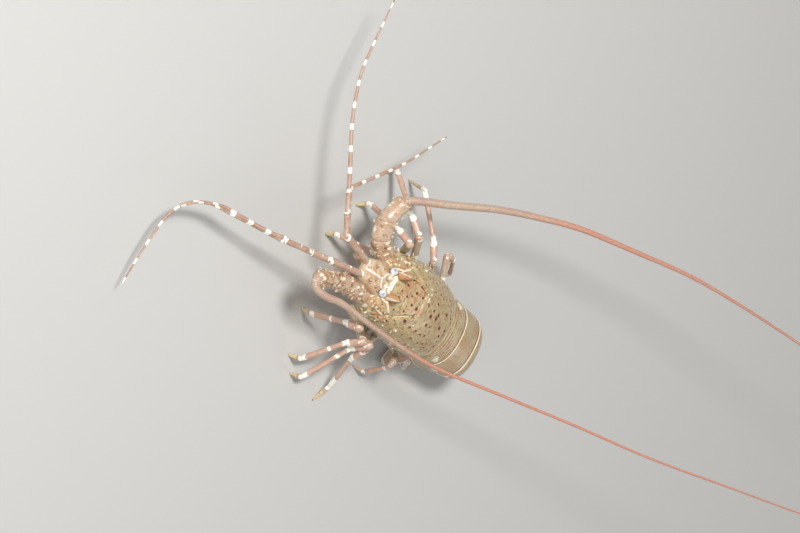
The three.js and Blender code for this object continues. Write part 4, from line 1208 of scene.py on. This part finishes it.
# %% Tail fan
fan_root = back_line(np.array([straight + curled]))[0][0]
# Petals: length, angle out from the middle, root beside the middle
OUTER_PETAL = [22.5, 98, 11]
INNER_PETAL = [38.5, 48.5, 9.5]
TELSON_LENGTH = 44
PETAL_RINGS = 90
RIB_WAVES = 26
INNER_PETAL_HEIGHT = 2.6


def petal_part(root, compass, length, half_at, thick_at, pallor=0.0):
    """A petal flat on the floor. Across it runs from edge to edge above and back below; its top
    is the thickness with ribs fanning from the root, and its underside is level."""
    t = np.linspace(0, 1, PETAL_RINGS)
    across = np.concatenate([np.linspace(-1, 1, 61), np.linspace(1, -1, 31)[1:-1]])
    top_side = np.arange(len(across)) < 61
    ahead = np.array([math.cos(compass), math.sin(compass), 0])
    beside = np.array([-ahead[1], ahead[0], 0])
    half, thick = half_at(t)[:, None], thick_at(t)[:, None]
    rounded = np.sqrt(np.clip(1 - np.abs(across) ** 3, 0, 1))
    rib_wave = np.sin(across * RIB_WAVES) * ramp(t, 0.3, 0.6)[:, None]
    keel = 0.6 * bump(across, 0, 0.16) * (1 - ramp(t, 0.5, 0.9))[:, None]
    z = np.where(top_side, (thick + 0.16 * rib_wave + keel) * (0.35 + 0.65 * rounded), 0.0)
    outline = (length * t)[:, None, None] * ahead + (half * across)[..., None] * beside
    edge = most(
        ramp(np.abs(across), 0.88, 0.97) * ramp(t, 0.1, 0.2)[:, None], ramp(t, 0.94, 0.98)[:, None])
    inner_edge = 0.8 * bump(np.abs(across), 0.74, 0.12) * (pallor > 0)
    root_brown = (1 - ramp(t, 0.3, 0.75))[:, None]
    return skin(
        root + outline + z[..., None] * UP,
        cream=most(edge, 0.6 * keel, pallor * (1 - root_brown) * (1 - inner_edge)),
        warm=most(0.4 * rib_wave, 0.9 * root_brown, inner_edge),
        dark=0.3 * bump(t, 0.4, 0.05)[:, None])


def telson_half(t):
    """Half width of the telson: straight sides, and a quarter of an oval over the last third."""
    round_end = np.where(t < 0.7, 1, np.sqrt(np.clip(1 - ((t - 0.7) / 0.315) ** 2, 0, 1)))
    return (12.5 + 2 * t) * round_end


def petal_half(t):
    """Half width of a petal: a flattened half sine, narrow at the root."""
    return 10.5 * np.maximum(0.08, np.clip(np.sin(np.pi * (0.14 + 0.84 * t**0.8)), 0, 1) ** 0.62)


part = petal_part(
    fan_root * [1, 0, 0] + [0.3, 0, 0], 0, TELSON_LENGTH, telson_half,
    lambda t: 2.3 + 1.6 * (1 - t) ** 3)
piece("telson_petal", [part], "fan_shell", FAN, "telson")
# Petal, height of its root, how much thicker it is there, and how pale it is
PETALS = (
    ("outer", OUTER_PETAL, 0, 0.4, 0.6),
    ("inner", INNER_PETAL, INNER_PETAL_HEIGHT, 1.5, 0.0),
)
for word, side in SIDES:
    for kind, (length, angle, beside), height, root_extra, pallor in PETALS:
        root = np.array([fan_root[0] + 0.5, side * beside, height])
        part = petal_part(
            root, side * math.radians(angle), length, petal_half,
            lambda t: 1.8 + root_extra * (1 - t) ** 4, pallor)
        piece(f"fan_{word}_{kind}_petal", [part], "fan_shell", FAN, f"fan_{word}_{kind}")
print("fan pieces:", [name for name in made if "petal" in name])

# %% [markdown]
# ## Jointed limbs
# A crustacean's limb is a row of hard tubes with soft skin between them. Each tube is a bar whose
# radius follows a profile, with rounded ends, and a soft grooved sleeve shows at every joint.

# %% Tubes and sleeves
def tube(start, end, profile, girth, count=28, rings=60, ridges=0.04, **paint_of):
    """A limb segment: the radius follows the profile over the share of the length, is drawn in
    at both ends as a quarter circle, and has three low ridges round it. Each paint is a function
    of the share of the length and the turn."""
    table = np.asarray(profile, float)
    crowded = 0.5 - 0.5 * np.cos(np.linspace(0, np.pi, rings))
    t = table[0, 0] + (table[-1, 0] - table[0, 0]) * crowded
    line = start + (end - start) * t[:, None]
    span = np.linalg.norm(end - start)
    radius = girth * along(table, t)[:, 0]
    nose = 1.6 * girth
    to_end = np.minimum(t - t[0], t[-1] - t) * span
    radius = radius * np.sqrt(np.clip(1 - (1 - np.minimum(to_end / nose, 1)) ** 2, 0.02, 1))
    turn = 2 * np.pi * np.arange(count) / count
    ridged = radius[:, None] * (1 + ridges * np.cos(3 * turn + 0.6))
    grid, _ = bar(line, ridged, ridged, count)
    return skin(grid, **{name: rule(t[:, None], turn) for name, rule in paint_of.items()})


SLEEVE_REACH = 2.6
SLEEVE_RINGS = 16


def sleeve(before, joint, after, radius, pale=0.5):
    """Soft skin at a joint: a short bar through the joint with three folds, more or less pale."""
    ends = [joint + SLEEVE_REACH * unit(point - joint) for point in (before, after)]
    line, _ = smooth_line([ends[0], joint, ends[1]], SLEEVE_RINGS)
    t = np.linspace(0, 1, SLEEVE_RINGS)
    size = radius * (0.92 + 0.06 * np.cos(6 * np.pi * t))
    grid, _ = bar(line, size, size, 20)
    return skin(grid, cream=pale)


def patches(t, a, size, seed, low, high):
    """Irregular patches on a stout tube: a ripple over its length and turn, cut between two
    levels."""
    where = np.stack(np.broadcast_arrays(t * 20, 7 * np.cos(a), 7 * np.sin(a)), -1)
    return ramp(ripple(where, size, seed), low, high)


print("a sleeve reaches", SLEEVE_REACH, "mm to each side of its joint")

# %% Feeler bases
FEELER_ROOT = [96, 16.5, 21]
FEELER_BASE_RADII = [8.1, 7.6, 7, 6.2]
FEELER_BASE = {
    "left": [[19, 3, 2], [18, 8, 3], [17.5, 24, 2]],
    "right": [[17.5, -30, 7], [15.5, -63, 10], [18.5, -106, 9]],
}
BASE_SPINES = [
    [0.78, 84, 4.6], [0.76, 28, 4.2], [0.76, 150, 4.2], [0.34, 62, 3.4], [0.4, 122, 3.4],
    [0.7, -30, 3.6], [0.7, 212, 3.6], [0.9, 60, 2.6], [0.92, 110, 2.6], [0.55, 95, 2.2],
    [0.52, 40, 2], [0.18, 90, 2], [0.55, 5, 2.2], [0.55, 175, 2.2], [0.2, 140, 1.8], [0.2, 35, 1.8],
]
feeler_line = {}
for word, side in SIDES:
    root = mirrored([FEELER_ROOT], side, on_floor)[0]
    line = walk(root, FEELER_BASE[word])
    feeler_line[word] = line
    for index in range(3):
        start, end = line[index], line[index + 1]
        r0, r1 = FEELER_BASE_RADII[index], FEELER_BASE_RADII[index + 1]
        span = np.linalg.norm(end - start)
        back = -0.6 if index == 0 else -0.1
        profile = [
            [back, 0.8 * r0], [0.04, 0.96 * r0], [0.3, r0], [0.7, 0.5 * (r0 + r1)],
            [0.92, 1.06 * r1], [1.04, 0.9 * r1], [1.04 + 1.4 / span, 0.6 * r1],
        ]
        seed = 50 + index + 3 * side
        # The left base is patched all over; the right one is plain beyond its streaked root
        patchy = 1.0 if side > 0 else (0.9, 0.25, 0.2)[index]
        lower_turn = 2.2 if side > 0 else 4.4
        part = tube(
            start, end, profile, 1, count=96, rings=90, ridges=0.035,
            spot=lambda t, a: 0.9 * patchy * patches(t, a, 4.6, seed, 0.75, 1.15),
            cream=lambda t, a: most(
                0.95 * patchy * patches(t, a, 5.5, seed + 20, 0.5, 0.95),
                0.6 * bump(np.sin(a - lower_turn), 1, 0.12) * bump(t, 0.5, 0.4)),
            warm=lambda t, a: most(
                0.85 * patchy * patches(t, a, 6.5, seed + 40, 0.1, 0.7),
                0.7 * (side < 0) * (index == 0) * ramp(np.sin(5 * a + 2 * t), 0.3, 0.9)),
            dark=lambda t, a: 0.7 * bump(t, 1.0, 0.018),
        )
        parts = [part]
        if index > 0:
            parts.append(sleeve(line[index - 1], start, end, 0.93 * r0, 0.2))
        travel, across, up = (v[0] for v in bar_axes(np.stack([start, end])))
        rows = np.array(BASE_SPINES)
        angle = np.radians(rows[:, 1] + 6 * np.sin(7 * np.arange(len(rows)) + 3 * index + side))
        away = np.outer(np.cos(angle), across) + np.outer(np.sin(angle), up)
        radius = r0 + (r1 - r0) * rows[:, 0]
        feet = start + np.outer(rows[:, 0], end - start) + away * (0.94 * radius)[:, None]
        spine_part = spikes(feet, away + 0.7 * travel, rows[:, 2], 0.27 * rows[:, 2], travel, sides=8)
        node = f"feeler_{word}_base_{index + 1}"
        piece(f"{node}_tube", parts, "feeler_base_shell", FEELER, node)
        piece(f"{node}_spines", [spine_part], "feeler_base_shell", SPINE, node)
base_names = [name for name in made if name.startswith("feeler") and "base" in name]
print("feeler bases:", sum(made[name] for name in base_names), "triangles")

# %% [markdown]
# ## The whips
# Each long feeler ends in a whip of short rings, thick at the root and thinning to a thread.
# The rings are real ridges in the mesh, so they also show in the plain model.

# %% Whips
WHIPS = {
    "left": [
        [6, 115, 2], [11, 168, 11], [17, 188, 7], [33, 178, 8], [50, 179, 10], [30, 184, 12],
        [58, 189, 16], [74, 189, 18], [76, 188, 19], [77, 191, 20], [79, 191, 19], [42, 192, 20],
    ],
    "right": [
        [9, -150, 9], [33, -156, 11], [48, -155, 12], [42, -160, 12], [35, -163, 13],
        [59, -169, 13], [60, -170, 13], [59, -175, 13], [78, -177, 11], [99, -178, 11],
    ],
}
WHIP_RADII = {
    "left": [[0, 3.2], [20, 2.9], [60, 2.2], [110, 1.6], [200, 1.25], [560, 0.6]],
    "right": [[0, 3.2], [60, 2.9], [200, 2.1], [350, 1.3], [530, 0.6]],
}
# Rings along each third of a whip, and points round a ring
WHIP_MESH = ((1500, 18), (1000, 14), (800, 12))
for word, side in SIDES:
    base = feeler_line[word]
    start = base[3] + 1.5 * unit(base[3] - base[2])
    knots = walk(start, WHIPS[word])
    for third, (count, sides) in enumerate(WHIP_MESH):
        line, length = smooth_line(knots, count, third / 3, (third + 1) / 3)
        u = np.linspace(third / 3, (third + 1) / 3, count)
        radius = along(WHIP_RADII[word], u * length)[:, 0]
        ring = u * length / (1.5 - 0.5 * u)
        radius = radius * (1 + 0.035 * np.cos(2 * np.pi * ring))
        grid, _ = bar(line, radius, radius, sides)
        t = u[:, None]
        near = np.exp(-u * length / 40)[:, None]
        part = skin(
            grid, cream=0.6 * bump(u * length, 1, 3)[:, None] * near,
            dark=0.34 * ramp(np.cos(2 * np.pi * ring), 0.3, 1)[:, None] * (1 - t),
            warm=(0.65 + 0.3 * (side > 0)) * ramp(t, 0.05, 0.35))
        node = f"feeler_{word}_whip_{third + 1}"
        parts = [part]
        if third == 0:
            joint = base[3] + 0.5 * unit(base[3] - base[2])
            parts.append(sleeve(base[2], joint, knots[1], 4.2, 0.3))
            rows = np.arange(30, 700, 26)
            tangent, sideways, upward = bar_axes(line)
            for turn_at in (0.6, 2.5, 4.2, 5.6):
                out_now = np.cos(turn_at) * sideways[rows] + np.sin(turn_at) * upward[rows]
                parts.append(spikes(
                    line[rows] + out_now * 0.9 * radius[rows, None], out_now + 1.1 * tangent[rows],
                    1.0, 0.24, sides=5, heights=KNOB_HEIGHTS))
        piece(f"{node}_rings", parts, "whip_shell", WHIP, node)
print("whips done:", sum(made[n] for n in made if "whip" in n), "triangles")

# %% [markdown]
# ## The small feelers
# A second pair of feelers stands on the plate: three slim base segments and two lashes a side,
# banded in white and pinkish brown.

# %% Small feelers
SMALL_ROOT = [118.5, 4.6, 26]
SMALL_RADII = [3, 2.7, 2.4, 2.1]
SMALL_BASE = {
    "left": [[33, 9.4, -12], [15, 8, -24], [23, 8, -20]],
    "right": [[32, -12.6, -5], [18, -63, -10], [15, -65, -8]],
}
LASHES = {
    ("left", "outer"): [
        [13, 11, -15], [28, 4, -16], [17, 4, -18], [27, 24, -11], [17, 58, -10], [26, 88, -11],
        [34, 95, -10],
    ],
    ("left", "inner"): [[41, 5, -15], [35, 9, -3], [22, 33, 0]],
    ("right", "outer"): [
        [20, -58, -4], [33, -61, -7], [22, -68, -5], [15, -79, -8], [24, -88, -5], [36, -91, -5],
    ],
    ("right", "inner"): [[9, -136, -10], [20, -139, -9], [36, -137, -8], [52, -130, -7]],
}
BAND_SPACING = 16
for word, side in SIDES:
    base = walk(mirrored([SMALL_ROOT], side)[0], SMALL_BASE[word])
    parts = []
    for index in range(3):
        r, after = SMALL_RADII[index], SMALL_RADII[index + 1]
        back = -0.15 if index == 0 else -0.06
        profile = [
            [back, 0.85 * r], [0.05, 0.9 * r], [0.5, 0.86 * r], [0.95, 1.05 * after],
            [1.05, 0.7 * after],
        ]
        parts.append(tube(
            base[index], base[index + 1], profile, 1, count=28, rings=56,
            cream=lambda t, a: most(
                bump(t + 0.03 * np.sin(2 * a + index), 0.96, 0.045) * ramp(np.sin(a + 0.4), -0.7, 0),
                0.85 * bump(t + 0.04 * np.cos(a), 0.06, 0.04) * ramp(np.sin(a - 0.9), -0.5, 0.3),
                0.9 * bump(t, 0.42, 0.035) * bump(np.sin(a - 0.7), 1, 0.2),
                0.9 * bump(t, 0.6, 0.03) * bump(np.sin(a - 1.6), 1, 0.12),
                0.55 * (side < 0) * bump(np.sin(a - 2.6), 1, 0.06)),
            dark=lambda t, a: 0.45 * bump(t, 0.86, 0.05) * (0.7 + 0.5 * np.cos(a)),
        ))
        if index > 0:
            parts.append(sleeve(base[index - 1], base[index], base[index + 1], 0.86 * r))
    node = f"small_feeler_{word}_base"
    piece(f"{node}_tubes", parts, "small_feeler_shell", SMALL, node)
    for kind in ("outer", "inner"):
        outer = kind == "outer"
        start = base[3] + 0.6 * unit(base[3] - base[2])
        start = start + [0, -1.2 * side if outer else 1.2 * side, 0.4 if outer else -0.4]
        steps = LASHES[word, kind]
        count = 700 if outer else 500
        line, length = smooth_line(walk(start, steps), count)
        u = np.linspace(0, 1, count)
        radius = (1.35 if outer else 1.1) * (1 - u) ** 0.7 + 0.42
        radius = radius * (1 + 0.05 * np.cos(2 * np.pi * u * length))
        grid, turn = bar(line, radius, radius, 12)
        phase = u * length / BAND_SPACING
        white = ramp(np.cos(2 * np.pi * phase), 0.35, 0.85)[:, None]
        part = skin(
            grid, cream=0.9 * white * (0.85 + 0.3 * np.sin(turn)),
            dark=0.4 * bump(np.cos(2 * np.pi * phase), 0, 0.2)[:, None])
        node = f"small_feeler_{word}_{kind}"
        piece(f"{node}_lash", [part], "small_feeler_shell", SMALL, node)
print("small feelers:", sum(made[n] for n in made if n.startswith("small")), "triangles")

# %% [markdown]
# ## The legs
# Five pairs of walking legs without pincers. The rows give where each leg leaves the body, its
# lengths and its pose; the claw comes down to the floor, whatever the pose.

# %% Leg joints
LEG_LENGTHS = [
    [15, 33.5, 15.1, 33.6], [11.8, 33, 14.2, 39.5], [12.7, 33.2, 16.5, 46.4],
    [16.1, 26.8, 15.3, 40.4], [18.2, 26, 11.6, 24.8],
]
LEG_GIRTH = [1.08, 1.02, 1, 0.96, 0.84]
LEG_POSE = {
    "left": [
        [[48, -2], [47, 59], [46, -96], [45, -81], [27, -102]],
        [[54, -13], [58, 55], [73, -70], [80, -50], [82, -87]],
        [[39, -2], [49, 57], [87, -69], [86, -40], [87, -88]],
        [[27, 30], [45, 32], [122, -55], [129, -40], [99, -39]],
        [[169, -4], [39, 38], [150, -53], [114, -68], [-6, -58]],
    ],
    "right": [
        [[-80, -10], [1, 26], [121, -15], [-7, -67], [130, -79]],
        [[-59, 19], [-17, 49], [-49, -54], [-73, -72], [-81, -108]],
        [[-71, 42], [-30, 30], [-54, -31], [-84, -49], [-69, -110]],
        [[-157, 25], [-22, 34], [-63, -13], [-63, -27], [-146, -70]],
        [[-164, 35], [-65, 2], [-178, -12], [-200, -35], [-238, -72]],
    ],
}
HIP = [[-0.6, 3.5], [0.1, 3.8], [0.85, 3.7], [1.06, 2.9]]
THIGH = [[-0.08, 2.6], [0.06, 3.2], [0.3, 2.85], [0.88, 3.35], [1, 3.1], [1.05, 1.9]]
KNEE = [[-0.1, 1.7], [0.02, 2.6], [0.75, 2.9], [1, 2.6], [1.08, 1.5]]
SHANK = [[-0.04, 1.5], [0.02, 2.15], [0.14, 1.9], [0.9, 2.2], [1, 1.9]]
CLAW = [[-0.12, 1.4], [0.05, 1.9], [0.5, 1.5], [1, 0.9], [1.09, 0.3]]


def leg_joints(pair, word, side):
    """Root, hip, knee, wrist, ankle and tip of a leg; the claw is as long as the drop needs."""
    pose = LEG_POSE[word][pair]
    steps = [[length, *turn] for length, turn in zip(LEG_LENGTHS[pair], pose)]
    line = walk(mirrored([LEG_ROOTS[pair]], side, on_floor)[0], steps)
    compass, slope = pose[4]
    drop = line[4][2] / math.sin(math.radians(-slope))
    return walk(line[0], steps + [[drop, compass, slope]])


print("left front claw ends at", leg_joints(0, "left", 1)[-1].round(1), "mm")


def around(t, a, place, width, seed):
    """A pale band round a segment whose edge wavers with the turn."""
    waver = 0.35 * width * (np.sin(2 * a + seed) + np.sin(3 * a + 2.3 * seed))
    return bump(t + waver, place, width)


def facing(a, middle):
    """1 on the side of a segment that faces one way round it, and 0 on the other."""
    return ramp(np.sin(a - middle), -0.35, 0.3)


def hip_cream(t, a):
    """Pale where the thigh is hinged."""
    return ramp(t, 0.72, 0.9)


def thigh_cream(t, a):
    """A square band near the body, a half ring before the knee and a faint stripe on top."""
    square = 1.1 * bump(t, 0.24, 0.09) * facing(a, 0)
    stripe = 0.3 * bump(np.sin(a - 0.5), 1, 0.1) * bump(t, 0.55, 0.25)
    return most(square, 0.9 * around(t, a, 0.93, 0.04, 2) * facing(a, 0.5), stripe)


def knee_cream(t, a):
    """A half ring at the root and a wide white end."""
    end = ramp(t + 0.05 * np.sin(2 * a), 0.66, 0.82)
    return most(end, 0.8 * around(t, a, 0.12, 0.1, 4) * facing(a, 0.8))


# For each pair, shares of the shank at which its pale band lies (past 1 there is none) and at
# which its white end starts, and how yellow the claw is
SHANK_BANDS = [0.45, 0.37, 0.27, 1.2, 1.2]
SHANK_ENDS = [0.92, 0.88, 0.86, 0.68, 0.9]
CLAW_YELLOW = [1, 0.85, 0.6, 0.55, 0.35]


def shank_cream(t, a, pair):
    """A white root, one band at the pair's place, and the pair's white end."""
    root = 1 - ramp(t + 0.02 * np.sin(3 * a), 0.06, 0.12)
    end = ramp(t + 0.02 * np.sin(2 * a), SHANK_ENDS[pair] - 0.03, SHANK_ENDS[pair] + 0.03)
    return most(root, around(t, a, SHANK_BANDS[pair], 0.04, 6), end)


def claw_cream(t, a):
    """White at the root."""
    return 1 - ramp(t + 0.05 * np.sin(a), 0.1, 0.26)


# %% Legs
rng = np.random.default_rng(5)
for word, side in SIDES:
    for pair in range(5):
        root, hip, knee, wrist, ankle, tip = leg_joints(pair, word, side)
        girth = LEG_GIRTH[pair]
        travel = unit(knee - hip)
        upper = [
            tube(root, hip, HIP, girth, cream=hip_cream),
            tube(hip, knee, THIGH, girth, rings=90, count=36, cream=thigh_cream,
                 warm=lambda t, a: 0.42 * ramp(t, 0.66, 0.9)),
            sleeve(root, hip, knee, 2.7 * girth),
        ]
        foot = hip + 0.93 * (knee - hip) + [0, 0, 2]
        upper.append(spikes([foot], [0.6 * travel + 0.6 * UP], 3.8, 1, travel))
        node = f"leg_{word}_{pair + 1}_upper"
        piece(f"{node}_tubes", upper, "leg_shell", THIGH_SHELL, node)
        lower = [
            sleeve(hip, knee, wrist, 2.3 * girth),
            tube(knee, wrist, KNEE, girth, rings=50, count=32, cream=knee_cream),
            sleeve(knee, wrist, ankle, 1.95 * girth),
            tube(wrist, ankle, SHANK, girth, rings=110, count=32,
                 cream=lambda t, a: shank_cream(t, a, pair),
                 dark=lambda t, a: 0.3 * around(t, a, SHANK_BANDS[pair] + 0.08, 0.025, 7)),
            sleeve(wrist, ankle, tip, 1.6 * girth),
            tube(ankle, tip, CLAW, girth, rings=60, count=24, cream=claw_cream,
                 warm=lambda t, a: CLAW_YELLOW[pair] * ramp(t, 0.2, 0.4),
                 dark=lambda t, a: 0.8 * ramp(t, 0.94, 0.99)),
        ]
        node = f"leg_{word}_{pair + 1}_lower"
        piece(f"{node}_tubes", lower, "leg_shell", LEG, node)
print("legs:", sum(made[n] for n in made if n.startswith("leg")), "triangles")

# %% [markdown]
# ## The jaw legs
# A short pair of bristly limbs folds under the face.

# %% Jaw legs
JAW_LEG = [
    [68, 7.5, 4, 3.2], [84, 9, 1.3, 3.4], [100, 8.4, 3.8, 3], [111, 7.5, 11, 2.6], [114, 6, 16, 1.2],
]
JAW_RINGS = 120
BRISTLES = 160
for word, side in SIDES:
    knots = mirrored(JAW_LEG, side)
    line, _ = smooth_line(knots, JAW_RINGS)
    u = np.linspace(0, 1, JAW_RINGS)
    notch = sum(bump(u, at, 0.012) for at in (0.34, 0.66, 0.86))
    round_tip = np.sqrt(np.clip(1 - (1 - np.minimum((1 - u) / 0.04, 1)) ** 2, 0.03, 1))
    radius = radii_at(knots, np.array(JAW_LEG)[:, 3], u) * (1 - 0.22 * notch) * round_tip
    grid, _ = bar(line, radius, radius, 28)
    part = skin(grid, cream=0.9 * notch[:, None], warm=0.4)
    tangent, sideways, upward = bar_axes(line)
    at = rng.integers(30, JAW_RINGS - 4, BRISTLES)
    angle = rng.uniform(-2.6, -0.4, BRISTLES)
    away = np.cos(angle)[:, None] * sideways[at] + np.sin(angle)[:, None] * upward[at]
    hairs = spikes(
        line[at] + away * radius[at, None] * 0.8, away + 0.9 * tangent[at],
        rng.uniform(2, 4, BRISTLES), 0.13, tangent[at], sides=4, heights=np.array([-0.2, 0.3, 0.7]))
    piece(f"jaw_leg_{word}_skin", [part], "leg_shell", LEG, f"jaw_leg_{word}")
    piece(f"jaw_leg_{word}_bristles", [hairs], "leg_shell", FEELER, f"jaw_leg_{word}")
print("jaw legs:", sum(made[n] for n in made if n.startswith("jaw")), "triangles")

# %% [markdown]
# ## Floor and light
# The floor is plain and pale. The brightest lamp stands high in front and is fairly small, so the
# shadows have an edge. Two broad and much weaker ones open the shadows and draw the outlines.

# %% Floor, lights and world
FLOOR_SIZE = 14
floor_mesh = bpy.data.meshes.new("floor")
reach = FLOOR_SIZE / 2
corners = [(x * reach, y * reach, 0) for x, y in ((-1, -1), (1, -1), (1, 1), (-1, 1))]
floor_mesh.from_pydata(corners, [], [(0, 1, 2, 3)])
floor = bpy.data.objects.new("floor", floor_mesh)
bpy.context.scene.collection.objects.link(floor)
floor_paint = bpy.data.materials.new("floor paint")
floor_paint.use_nodes = True
floor_shader = floor_paint.node_tree.nodes["Principled BSDF"]
floor_shader.inputs["Base Color"].default_value = colour(196, 194, 190)
floor_shader.inputs["Roughness"].default_value = 0.9
floor_mesh.materials.append(floor_paint)
floor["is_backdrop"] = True
# The point that the lamps are aimed at, in metres
AIMED_AT = [0.1, 0, 0.03]


def soft_light(name, spot, size, power):
    """A square lamp aimed at the middle of the animal."""
    data = bpy.data.lights.new(name, "AREA")
    data.size, data.energy = size, power
    lamp = bpy.data.objects.new(name, data)
    back = unit(np.asarray(spot, float) - AIMED_AT)
    right = unit(np.cross(UP, back))
    aim = Matrix(np.stack([right, np.cross(back, right), back], -1).tolist()).to_4x4()
    aim.translation = spot
    lamp.matrix_world = aim
    bpy.context.scene.collection.objects.link(lamp)


soft_light("key", (1.35, -0.3, 1.7), 0.35, 41)
soft_light("fill", (1.5, 0.9, 1.1), 1.2, 9)
soft_light("back", (-1.5, 0.3, 1.3), 1.0, 5)
world = bpy.data.worlds.new("studio")
world.use_nodes = True
world.node_tree.nodes["Background"].inputs[0].default_value = colour(226, 228, 230)
world.node_tree.nodes["Background"].inputs[1].default_value = 0.36
bpy.context.scene.world = world
bpy.context.scene.view_settings.view_transform = "Standard"
print("lamps:", [lamp.name for lamp in bpy.data.lights])

# %% Size of the dressed model
low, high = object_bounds()
print("pieces:", len(made), "triangles:", sum(made.values()), "size", [round(s, 3) for s in high - low])
